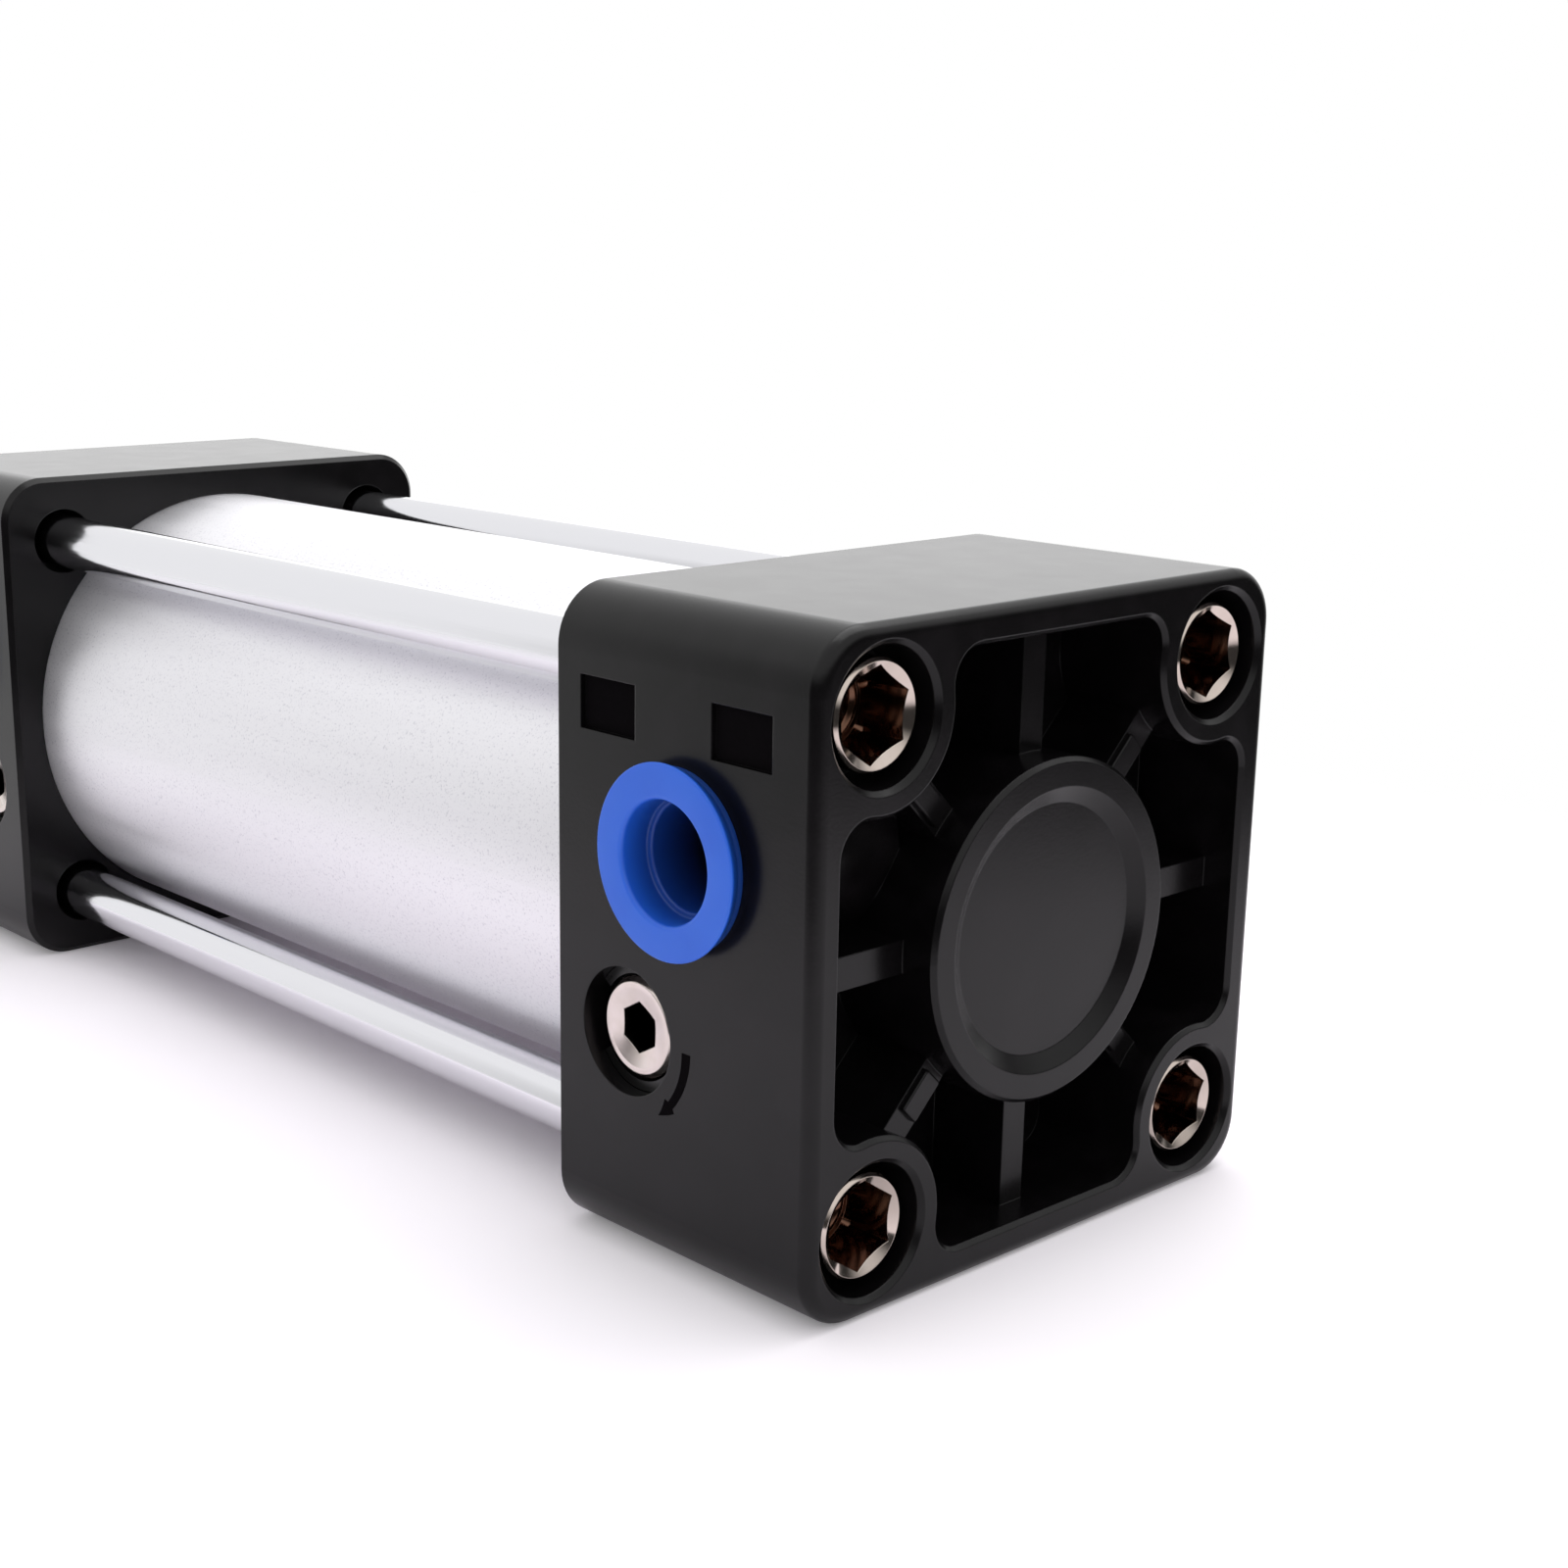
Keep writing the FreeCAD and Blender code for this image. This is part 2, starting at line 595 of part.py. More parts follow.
# Cap cover, with two bare rectangular recesses above the port
cap_cover = cover("cap_cover", HUB_R, "")
turned_cut(cap_cover, "cap_cover_hub_dish", [
    ("0", "0"), ("0", f"{HUB_R} - hub_lip"), ("hub_recess", f"{HUB_R} - hub_lip - hub_slope"),
    ("hub_recess", "0")])
for recess_x in ("recess_first", "recess_second"):
    recess = rectangle(f"{recess_x} - recess_length / 2", f"{recess_x} + recess_length / 2",
                       "recess_level - recess_height / 2", "recess_level + recess_height / 2")
    recess_sketch = outline(cap_cover, f"cap_cover_{recess_x}_outline", "XZ_Plane", recess, f"0 - {HALF}")
    pocket(cap_cover, f"cap_cover_{recess_x}", recess_sketch, "recess_depth")

# Rod cover, with the pilot boss that carries the bush and the rod seal
rod_cover = cover("rod_cover", f"({BOSS_R} + boss_land)", "0 - ")
rod_boss = rectangle("0 - boss_length", "chamber_floor", BUSH_R, BOSS_R)
rod_boss[3:] = [("boss_chamfer - boss_length", BOSS_R), ("0 - boss_length", f"{BOSS_R} - boss_chamfer")]
spun(rod_cover, "PartDesign::Revolution", "rod_cover_boss", rod_boss)
turned_cut(rod_cover, "rod_cover_bush_bore", rectangle("0 - boss_length", "chamber_floor", "0", BUSH_R))
turned_cut(rod_cover, "rod_cover_seal_housing", rectangle("0 - boss_length", "rod_seal_depth - boss_length",
                                                          "0", SEAL_HOUSING_R))
place(rod_cover, x=LENGTH, axis=(0, 1, 0), angle=180)

# Barrel, seated in a groove of each cover
ring("barrel", "(cover_length - barrel_seat)", f"{SPAN} + 2 * barrel_seat", BORE_R, BARREL_R)

# Tie rods, slimmer between their threaded ends, and their nuts
tie_rods = new_body("tie_rods")
for section, section_radius, section_start, section_length in (
        ("shank", "tie_rod_shank / 2", TIE_ROD_END, f"{LENGTH} - 2 * {TIE_ROD_END}"),
        ("cap_thread", "tie_rod_diameter / 2", TIE_ROD_END, "tie_thread_length"),
        ("rod_thread", "tie_rod_diameter / 2", f"{LENGTH} - {TIE_ROD_END} - tie_thread_length",
         "tie_thread_length")):
    round_bar(tie_rods, "PartDesign::AdditiveCylinder", f"tie_rod_{section}", "YZ_Plane", section_radius,
              section_start, section_length, across=TIE, along=TIE)
patterned(tie_rods, "tie_rods_four", "corner_count")
cap_tie_nuts = tie_nuts("cap_tie_nuts")
rod_tie_nuts = tie_nuts("rod_tie_nuts")
place(rod_tie_nuts, x=LENGTH, axis=(0, 1, 0), angle=180)

# Static rings on the spigots and cushion seals in the chambers' mouths
for end in ("cap", "rod"):
    barrel_seal = ring(f"{end}_barrel_seal", f"{RING_X} + fit_gap", "ring_width - 2 * fit_gap",
                       RING_FLOOR, BORE_R)
    cushion_seal = ring(f"{end}_cushion_seal", CUSHION_SEAL_X, "cushion_seal_width",
                        f"{SPEAR_R} + fit_gap", CUSHION_SEAL_R)
    if end == "rod":
        place(barrel_seal, x=LENGTH, axis=(0, 1, 0), angle=180)
        place(cushion_seal, x=LENGTH, axis=(0, 1, 0), angle=180)

# Bush and rod seal in the boss
bush_start = f"({LENGTH} - chamber_floor)"
housing_floor = f"({LENGTH} + boss_length - rod_seal_depth)"
seal_front = f"({LENGTH} + boss_length - rod_seal_recess)"
ring("rod_bush", bush_start, f"{housing_floor} - {bush_start}", "rod_diameter / 2 + run_gap", BUSH_R)
turned("rod_seal", [
    (housing_floor, "rod_diameter / 2 + fit_gap"), (seal_front, "rod_diameter / 2 + fit_gap"),
    (f"{seal_front} - rod_seal_lip", f"{SEAL_HOUSING_R} - rod_seal_lip"),
    (f"{seal_front} - rod_seal_lip", SEAL_HOUSING_R), (housing_floor, SEAL_HOUSING_R)])

# Piston rod: stepped tail, wrench flats, and a threaded tip drawn at its root under the nut and at
# its outside diameter where it is free
piston_rod = turned("piston_rod", [
    (TAIL_X, "0"), (TAIL_X, "tail_diameter / 2"), (SHOULDER_X, "tail_diameter / 2"),
    (SHOULDER_X, "rod_diameter / 2"), (f"{THREAD_X} - rod_chamfer", "rod_diameter / 2"),
    (THREAD_X, "rod_diameter / 2 - rod_chamfer"), (THREAD_X, "rod_thread_root / 2"),
    (ROD_NUT_END, "rod_thread_root / 2"), (ROD_NUT_END, "rod_thread / 2"),
    (f"{TIP_X} - rod_chamfer", "rod_thread / 2"), (TIP_X, "rod_thread / 2 - rod_chamfer"), (TIP_X, "0")])
for flat_name, flat_sign in (("upper", ""), ("lower", "0 - ")):
    flat_end = f"{THREAD_X} - flat_setback"
    flat = rectangle(f"{flat_end} - flat_length", flat_end, f"{flat_sign}flat_width / 2",
                     f"{flat_sign}rod_diameter / 2")
    flat_sketch = outline(piston_rod, f"piston_rod_flat_{flat_name}", "XZ_Plane", flat,
                          "0 - rod_diameter / 2")
    pocket(piston_rod, f"piston_rod_cut_{flat_name}", flat_sketch, "rod_diameter")
hexagon_nut("rod_end_nut", ROD_NUT_X, "rod_nut_width", "rod_nut_height", "rod_thread_root / 2")

# Piston, with grooves for two lip seals, the wear ring and the static ring in its bore
seal_floor = f"{PISTON_R} - seal_section"
wear_floor = f"{PISTON_R} - wear_section"
bore_floor = "tail_diameter / 2 + bore_seal_section"
piston_end = f"({PISTON_X} + piston_length)"
cap_groove = f"({PISTON_X} + seal_land)"
rod_groove = f"({piston_end} - seal_land)"
wear_start = f"({PISTON_X} + piston_length / 2 - wear_width / 2)"
bore_start = f"({PISTON_X} + piston_length / 2 - bore_seal_width / 2)"
turned("piston", [
    (PISTON_X, "tail_diameter / 2"), (PISTON_X, PISTON_R), (cap_groove, PISTON_R), (cap_groove, seal_floor),
    (f"{cap_groove} + seal_groove", seal_floor), (f"{cap_groove} + seal_groove", PISTON_R),
    (wear_start, PISTON_R), (wear_start, wear_floor), (f"{wear_start} + wear_width", wear_floor),
    (f"{wear_start} + wear_width", PISTON_R), (f"{rod_groove} - seal_groove", PISTON_R),
    (f"{rod_groove} - seal_groove", seal_floor), (rod_groove, seal_floor), (rod_groove, PISTON_R),
    (piston_end, PISTON_R), (piston_end, "tail_diameter / 2"),
    (f"{bore_start} + bore_seal_width", "tail_diameter / 2"),
    (f"{bore_start} + bore_seal_width", bore_floor), (bore_start, bore_floor),
    (bore_start, "tail_diameter / 2")])
ring("piston_bore_seal", bore_start, "bore_seal_width", "tail_diameter / 2", bore_floor)
lip_seal("piston_seal_cap", f"({cap_groove} + fit_gap)", "+")
lip_seal("piston_seal_rod", f"({rod_groove} - fit_gap)", "-")
ring("piston_wear_ring", f"{wear_start} + fit_gap", "wear_width - 2 * fit_gap", f"{wear_floor} + fit_gap",
     f"{BORE_R} - run_gap")

# Cushion spears and the nut that clamps the stack against the rod's shoulder
spear("cap_cushion_spear", PISTON_X, "-")
spear("rod_cushion_sleeve", piston_end, "+")
hexagon_nut("piston_nut", f"({PISTON_X} - spear_length - piston_nut_height)", "piston_nut_width",
            "piston_nut_height", "tail_diameter / 2")

# Needles, their rings and the port plugs, set into the +Y side of each cover
for end, needle_x, port_x in (("cap", NEEDLE_X, "port_inset"),
                              ("rod", f"{LENGTH} - {NEEDLE_X}", f"{LENGTH} - port_inset")):
    for piece in (needle(f"{end}_needle"), needle_seal(f"{end}_needle_seal")):
        place(piece, needle_x, f"{HALF} - needle_recess", "0 - needle_drop", angle=-90)
    place(port_plug(f"{end}_port_plug"), port_x, HALF, "port_height", angle=-90)

doc.recompute()
for item in doc.Objects:
    if "Invalid" in item.State or "Error" in item.State:
        raise RuntimeError(f"{item.Label} failed: {item.State}")
for node in nodes:
    if node.Shape.isNull() or not node.Shape.isValid():
        raise RuntimeError(f"{node.Label} has no valid shape")

os.makedirs("parts", exist_ok=True)
for node in nodes:
    node.Shape.exportStep(f"parts/{node.Label}.step")
    print(f"{node.Label}: {len(node.Shape.Solids)} solids, {node.Shape.Volume:.1f} mm3")
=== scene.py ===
import math

import bmesh
import bpy
import numpy as np
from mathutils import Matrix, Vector


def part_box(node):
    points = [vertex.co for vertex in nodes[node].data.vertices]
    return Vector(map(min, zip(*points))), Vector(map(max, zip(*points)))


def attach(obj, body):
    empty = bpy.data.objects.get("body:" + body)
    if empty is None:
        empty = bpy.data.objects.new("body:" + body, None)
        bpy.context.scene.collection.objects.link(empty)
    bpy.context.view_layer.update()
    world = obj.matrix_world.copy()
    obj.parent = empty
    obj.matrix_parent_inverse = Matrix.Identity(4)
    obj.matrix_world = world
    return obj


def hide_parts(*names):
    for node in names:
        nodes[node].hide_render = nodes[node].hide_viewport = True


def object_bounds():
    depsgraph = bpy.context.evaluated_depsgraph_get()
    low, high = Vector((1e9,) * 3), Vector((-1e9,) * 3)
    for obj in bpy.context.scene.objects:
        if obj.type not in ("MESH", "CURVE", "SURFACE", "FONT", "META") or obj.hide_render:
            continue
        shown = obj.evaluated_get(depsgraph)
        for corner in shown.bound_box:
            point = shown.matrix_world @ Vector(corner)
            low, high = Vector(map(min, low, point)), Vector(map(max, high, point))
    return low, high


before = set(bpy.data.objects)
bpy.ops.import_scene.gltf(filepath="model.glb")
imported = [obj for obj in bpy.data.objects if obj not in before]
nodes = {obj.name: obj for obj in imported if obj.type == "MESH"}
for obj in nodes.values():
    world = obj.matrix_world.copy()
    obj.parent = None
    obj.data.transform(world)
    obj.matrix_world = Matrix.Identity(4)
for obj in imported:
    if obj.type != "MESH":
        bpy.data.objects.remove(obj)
cad_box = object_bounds()

# End covers: two aluminium die castings, cored out behind the face, with a hub, eight ribs and a
# boss round each tie-rod nut. They are machined where they meet the barrel and are coated black
# all over, and the tie rods clamp them onto the barrel.
MM = 0.001
COVER_BLACK = "#080708"
COVER_WORN = "#100E10"
COVER_GLOSS = (0.235, 0.25)
COATING_WAVE = 4 * MM
COATING_PATCHES = (0.45, 0.75)
CAST_GRAIN = 0.3 * MM
CAST_RELIEF = 0.03 * MM
EDGE_SOFTNESS = 0.15 * MM
EDGE_SAMPLES = 6
# where most values of a noise texture lie
NOISE_RANGE = (0.3, 0.7)


def linear(code):
    """An sRGB hex colour as linear red, green, blue and alpha."""
    channels = [int(code[start:start + 2], 16) / 255 for start in (1, 3, 5)]
    return [c / 12.92 if c <= 0.04045 else ((c + 0.055) / 1.055) ** 2.4 for c in channels] + [1]


def feed(tree, node, inputs):
    """Give each named input of a node a value, or a link from another node's output."""
    for name, value in inputs.items():
        if isinstance(value, bpy.types.NodeSocket):
            tree.links.new(value, node.inputs[name])
        else:
            node.inputs[name].default_value = value


def add(tree, kind, inputs, **settings):
    """A new node with its settings and inputs. A Mix node's colours are its inputs 6 and 7 and its
    output 2; its plain numbers are its inputs 2 and 3 and its output 0."""
    node = tree.nodes.new(kind)
    for name, value in settings.items():
        setattr(node, name, value)
    feed(tree, node, inputs)
    return node


def between(ends, side="To"):
    """The two inputs of a Map Range node that hold one range, its From or its To."""
    return {f"{side} Min": ends[0], f"{side} Max": ends[1]}


def start_finish(name, **values):
    """A new material with its node tree, its shader and the object's own coordinates; the values go
    straight onto the shader's sockets, named with _ for a space."""
    material = bpy.data.materials.new(name)
    material.use_nodes = True
    tree = material.node_tree
    shader = tree.nodes["Principled BSDF"]
    feed(tree, shader, {socket.replace("_", " "): value for socket, value in values.items()})
    place = add(tree, "ShaderNodeTexCoord", {}).outputs["Object"]
    return material, tree, shader, place


def dress(material, *names):
    """Give CAD nodes one finish in place of their plain colour."""
    for name in names:
        nodes[name].data.materials.clear()
        nodes[name].data.materials.append(material)


# Baked coating on a casting: half glossy, so the floor and the sky lie on it as soft gradients,
# with the grain of the casting under it and edges that the coating has rounded.
coated_casting, tree, shader, place = start_finish("black_coated_die_casting", IOR=1.5,
                                                   Specular_IOR_Level=0.27)
grain = add(tree, "ShaderNodeTexNoise", {"Vector": place, "Scale": 1 / CAST_GRAIN, "Detail": 3.0})
wave = add(tree, "ShaderNodeTexNoise", {"Vector": place, "Scale": 1 / COATING_WAVE, "Detail": 2.0})
tone = add(tree, "ShaderNodeMapRange", {"Value": wave.outputs["Fac"], **between(COATING_PATCHES, "From")})
colour = add(tree, "ShaderNodeMix", {0: tone.outputs["Result"], 6: linear(COVER_BLACK),
                                     7: linear(COVER_WORN)}, data_type="RGBA")
gloss = add(tree, "ShaderNodeMapRange", {"Value": wave.outputs["Fac"], **between(NOISE_RANGE, "From"),
                                         **between(COVER_GLOSS)})
edge = add(tree, "ShaderNodeBevel", {"Radius": EDGE_SOFTNESS}, samples=EDGE_SAMPLES)
relief = add(tree, "ShaderNodeBump", {"Height": grain.outputs["Fac"], "Strength": 0.14,
                                      "Distance": CAST_RELIEF, "Normal": edge.outputs["Normal"]})
feed(tree, shader, {"Base Color": colour.outputs[2], "Roughness": gloss.outputs["Result"],
                    "Normal": relief.outputs["Normal"]})
dress(coated_casting, "cap_cover", "rod_cover")

# Ejector pads: low blocks on the cap cover's diagonal ribs, where the die's pins push the casting
# out. They are cast and coated with the cover.
RIB_TOP = 3 * MM
PAD_LENGTH = 3.6 * MM
PAD_WIDTH = 1.9 * MM
PAD_START = 13.7 * MM
PAD_HEIGHT = 0.4 * MM
PAD_ROOT = 0.1 * MM
PAD_CORNER = 0.2 * MM
PAD_EDGE = 0.1 * MM
PAD_CORNER_STEPS = 5
PAD_TURNS = (45, 135, 225, 315)
SHARP_ANGLE = math.radians(32)


def surface(name, grid, material, ring=False):
    """A closed mesh over rows of points that each run once round. Neighbouring rows are joined by
    quads; on a ring the last row joins the first, and elsewhere a fan to its middle closes each end."""
    rows, columns = grid.shape[:2]
    index = np.arange(rows * columns).reshape(rows, columns)
    beside = np.roll(index, -1, axis=1)
    quads = np.stack([index, beside, np.roll(beside, -1, axis=0), np.roll(index, -1, axis=0)], axis=-1)
    points = grid.reshape(-1, 3)
    faces = quads[:rows if ring else rows - 1].reshape(-1, 4).tolist()
    if not ring:
        for end, middle in ((0, len(points)), (rows - 1, len(points) + 1)):
            faces += np.stack([np.full(columns, middle), index[end], beside[end]], axis=-1).tolist()
        points = np.vstack([points, grid[0].mean(axis=0), grid[-1].mean(axis=0)])
    mesh = bpy.data.meshes.new(name)
    mesh.from_pydata(points.tolist(), [], faces)
    shell = bmesh.new()
    shell.from_mesh(mesh)
    bmesh.ops.recalc_face_normals(shell, faces=shell.faces)
    shell.to_mesh(mesh)
    shell.free()
    mesh.shade_smooth()
    mesh.set_sharp_from_angle(angle=SHARP_ANGLE)
    mesh.materials.append(material)
    piece = bpy.data.objects.new(name, mesh)
    bpy.context.scene.collection.objects.link(piece)
    return piece


def rounded_outline(corners, roundings, steps):
    """An outline with each corner turned into a curve: it leaves one edge a rounding away from the corner
    and joins the next as far along, by (1 - t)^2 start + 2 t (1 - t) corner + t^2 end."""
    before, after = np.roll(corners, 1, axis=0) - corners, np.roll(corners, -1, axis=0) - corners
    start = corners + before / np.linalg.norm(before, axis=1, keepdims=True) * roundings[:, None]
    end = corners + after / np.linalg.norm(after, axis=1, keepdims=True) * roundings[:, None]
    t = np.linspace(0, 1, steps)[:, None, None]
    curve = (1 - t) ** 2 * start + 2 * t * (1 - t) * corners + t ** 2 * end
    return curve.transpose(1, 0, 2).reshape(-1, 2)


# The same outline at three heights: the root in the rib, the top of the sides and the top, drawn in
# by the rounded edge. A pad is turned about the hub by turning its two coordinates.
pad_corners = np.array(((0, -1), (1, -1), (1, 1), (0, 1))) * (PAD_LENGTH, PAD_WIDTH / 2)
pad_loop = rounded_outline(pad_corners, np.full(4, PAD_CORNER), PAD_CORNER_STEPS) + (PAD_START, 0)
pad_levels = np.array((-PAD_ROOT, PAD_HEIGHT - PAD_EDGE, PAD_HEIGHT))[:, None]
pad_shrink = np.array((0, 0, PAD_EDGE))[:, None, None]
pad_rows = pad_loop - pad_shrink * np.sign(pad_loop - pad_loop.mean(axis=0))
for number, turn in enumerate(np.radians(PAD_TURNS), start=1):
    out, side = pad_rows[..., 0], pad_rows[..., 1]
    grid = np.stack([RIB_TOP - np.broadcast_to(pad_levels, out.shape),
                     out * np.cos(turn) - side * np.sin(turn),
                     out * np.sin(turn) + side * np.cos(turn)], axis=-1)
    rib_pad = surface(f"cap_rib_pad_{number}", grid, coated_casting)
    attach(rib_pad, "cylinder")

# Recess floors: the bottoms of two shallow rectangles on the cap cover's side, left by two loose
# inserts in the die. The inserts were spark eroded and not polished, so the casting is rough there.
RECESS_SIZE = (6 * MM, 4 * MM)
RECESS_DEPTH = 0.5 * MM
RECESS_LEVEL = 16.8 * MM
RECESS_PLACES = (7.35 * MM, 21.4 * MM)
RECESS_GAP = 0.02 * MM
ERODED_BLACK = "#0C0B0C"

# Spark-eroded casting: no gloss at all, so it stays black whatever the face round it mirrors.
eroded_casting, tree, shader, place = start_finish("eroded_cast_floor", Specular_IOR_Level=0.0, Roughness=0.8)
grain = add(tree, "ShaderNodeTexNoise", {"Vector": place, "Scale": 1 / CAST_GRAIN, "Detail": 3.0})
colour = add(tree, "ShaderNodeMix", {0: grain.outputs["Fac"], 6: linear(ERODED_BLACK),
                                     7: linear(COVER_WORN)}, data_type="RGBA")
feed(tree, shader, {"Base Color": colour.outputs[2]})

side_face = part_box("cap_cover")[1].y
recess_corners = np.array(((-1, -1), (1, -1), (1, 1), (-1, 1))) * (np.array(RECESS_SIZE) / 2 - RECESS_GAP)
recess_levels = side_face - RECESS_DEPTH + np.array((-RECESS_GAP, RECESS_GAP))
for number, recess in enumerate(RECESS_PLACES, start=1):
    grid = np.stack(np.broadcast_arrays(recess + recess_corners[:, 0], recess_levels[:, None],
                                        RECESS_LEVEL + recess_corners[:, 1]), axis=-1)
    recess_floor = surface(f"cap_recess_floor_{number}", grid, eroded_casting)
    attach(recess_floor, "cylinder")

# Rod bush: a plain bearing of sintered bronze, pressed into the rod cover's boss. Its oil-filled
# pores leave it matt, a little blotchy and darker than cast bronze.
BRONZE = "#A9793F"
BRONZE_OILED = "#7E5729"
BRONZE_GLOSS = (0.35, 0.6)
BRONZE_PORE = 0.4 * MM
BRONZE_RELIEF = 0.05 * MM

sintered_bronze, tree, shader, place = start_finish("sintered_bronze", Metallic=1.0)
pores = add(tree, "ShaderNodeTexNoise", {"Vector": place, "Scale": 1 / BRONZE_PORE, "Detail": 4.0})
colour = add(tree, "ShaderNodeMix", {0: pores.outputs["Fac"], 6: linear(BRONZE), 7: linear(BRONZE_OILED)},
             data_type="RGBA")
gloss = add(tree, "ShaderNodeMapRange", {"Value": pores.outputs["Fac"], **between(BRONZE_GLOSS)})
relief = add(tree, "ShaderNodeBump", {"Height": pores.outputs["Fac"], "Strength": 0.2,
                                      "Distance": BRONZE_RELIEF})
feed(tree, shader, {"Base Color": colour.outputs[2], "Roughness": gloss.outputs["Result"],
                    "Normal": relief.outputs["Normal"]})
dress(sintered_bronze, "rod_bush")

# Seals: moulded nitrile rings in the covers, on the piston and on the cushion needles, and the rod
# seal that also wipes the rod. They are pushed into their grooves and run on a film of grease, and
# they look black and half matt with a faint grey bloom.
RUBBER_BLACK = "#121213"
RUBBER_BLOOM = "#1E1E20"
RUBBER_GLOSS = (0.4, 0.62)
RUBBER_GRAIN = 0.25 * MM
RUBBER_RELIEF = 0.03 * MM

nitrile, tree, shader, place = start_finish("moulded_nitrile_rubber", IOR=1.52)
bloom = add(tree, "ShaderNodeTexNoise", {"Vector": place, "Scale": 1 / RUBBER_GRAIN, "Detail": 4.0})
colour = add(tree, "ShaderNodeMix", {0: bloom.outputs["Fac"], 6: linear(RUBBER_BLACK),
                                     7: linear(RUBBER_BLOOM)}, data_type="RGBA")
gloss = add(tree, "ShaderNodeMapRange", {"Value": bloom.outputs["Fac"], **between(RUBBER_GLOSS)})
relief = add(tree, "ShaderNodeBump", {"Height": bloom.outputs["Fac"], "Strength": 0.15,
                                      "Distance": RUBBER_RELIEF})
feed(tree, shader, {"Base Color": colour.outputs[2], "Roughness": gloss.outputs["Result"],
                    "Normal": relief.outputs["Normal"]})
dress(nitrile, "cap_barrel_seal", "rod_barrel_seal", "cap_cushion_seal", "rod_cushion_seal", "rod_seal",
      "piston_seal_cap", "piston_seal_rod", "piston_bore_seal", "cap_needle_seal", "rod_needle_seal")

# Barrel: a drawn aluminium tube, blasted fine and anodised to a silver satin. Its ends sit in
# grooves of the covers. It spreads light evenly, with a faint speckle from the blasting, which is
# drawn at about twice its real size so that it shows.
BARREL_SILVER = "#F8F7FB"
BARREL_SPECK = "#DBDAE1"
BARREL_GLOSS = (0.36, 0.44)
BLAST_GRAIN = 0.2 * MM
BLAST_SPECKS = (0.56, 0.72)
BLAST_RELIEF = 0.03 * MM
DRAWN_WAVE = 2.5 * MM
DRAWN_STRETCH = (0.05, 1.0, 1.0)

satin_tube, tree, shader, place = start_finish("satin_anodised_aluminium", Metallic=0.75)
grain = add(tree, "ShaderNodeTexNoise", {"Vector": place, "Scale": 1 / BLAST_GRAIN, "Detail": 3.0})
drawn = add(tree, "ShaderNodeMapping", {"Vector": place, "Scale": DRAWN_STRETCH})
wave = add(tree, "ShaderNodeTexNoise", {"Vector": drawn.outputs["Vector"], "Scale": 1 / DRAWN_WAVE,
                                        "Detail": 3.0})
speck = add(tree, "ShaderNodeMapRange", {"Value": grain.outputs["Fac"], **between(BLAST_SPECKS, "From")})
colour = add(tree, "ShaderNodeMix", {0: speck.outputs["Result"], 6: linear(BARREL_SILVER),
                                     7: linear(BARREL_SPECK)}, data_type="RGBA")
gloss = add(tree, "ShaderNodeMapRange", {"Value": wave.outputs["Fac"], **between(NOISE_RANGE, "From"),
                                         **between(BARREL_GLOSS)})
relief = add(tree, "ShaderNodeBump", {"Height": grain.outputs["Fac"], "Strength": 0.25,
                                      "Distance": BLAST_RELIEF})
feed(tree, shader, {"Base Color": colour.outputs[2], "Roughness": gloss.outputs["Result"],
                    "Normal": relief.outputs["Normal"]})
dress(satin_tube, "barrel")

# Piston, cushion spear and sleeve: turned from aluminium bar and clamped on the rod's tail. The
# tool leaves fine rings round the axis, which show as bands of changing gloss. One feed is drawn as
# one radian of the wave, about six times too wide, so that the rings show.
TURNED_SILVER = "#CFD0D3"
TURNED_GLOSS = (0.22, 0.38)
TOOL_FEED = 0.2 * MM
TOOL_RELIEF = 0.01 * MM
WAVE_RADIANS = 20

turned_bar, tree, shader, place = start_finish("turned_aluminium", Metallic=1.0,
                                               Base_Color=linear(TURNED_SILVER))
rings = add(tree, "ShaderNodeTexWave", {"Vector": place, "Scale": 1 / (WAVE_RADIANS * TOOL_FEED),
                                        "Distortion": 0.6, "Detail": 2.0}, bands_direction="X")
gloss = add(tree, "ShaderNodeMapRange", {"Value": rings.outputs["Fac"], **between(TURNED_GLOSS)})
relief = add(tree, "ShaderNodeBump", {"Height": rings.outputs["Fac"], "Strength": 0.2,
                                      "Distance": TOOL_RELIEF})
feed(tree, shader, {"Roughness": gloss.outputs["Result"], "Normal": relief.outputs["Normal"]})
dress(turned_bar, "piston", "cap_cushion_spear", "rod_cushion_sleeve")

# Wear ring: a strip of filled acetal sprung into the piston's middle groove. It is pale, waxy and
# faintly mottled.
ACETAL = "#C9C4B6"
ACETAL_DARK = "#B4AE9E"
ACETAL_MOTTLE = 1.5 * MM

filled_acetal, tree, shader, place = start_finish("filled_acetal", IOR=1.48, Roughness=0.42)
mottle = add(tree, "ShaderNodeTexNoise", {"Vector": place, "Scale": 1 / ACETAL_MOTTLE, "Detail": 3.0})
colour = add(tree, "ShaderNodeMix", {0: mottle.outputs["Fac"], 6: linear(ACETAL), 7: linear(ACETAL_DARK)},
             data_type="RGBA")
feed(tree, shader, {"Base Color": colour.outputs[2]})
dress(filled_acetal, "piston_wear_ring")

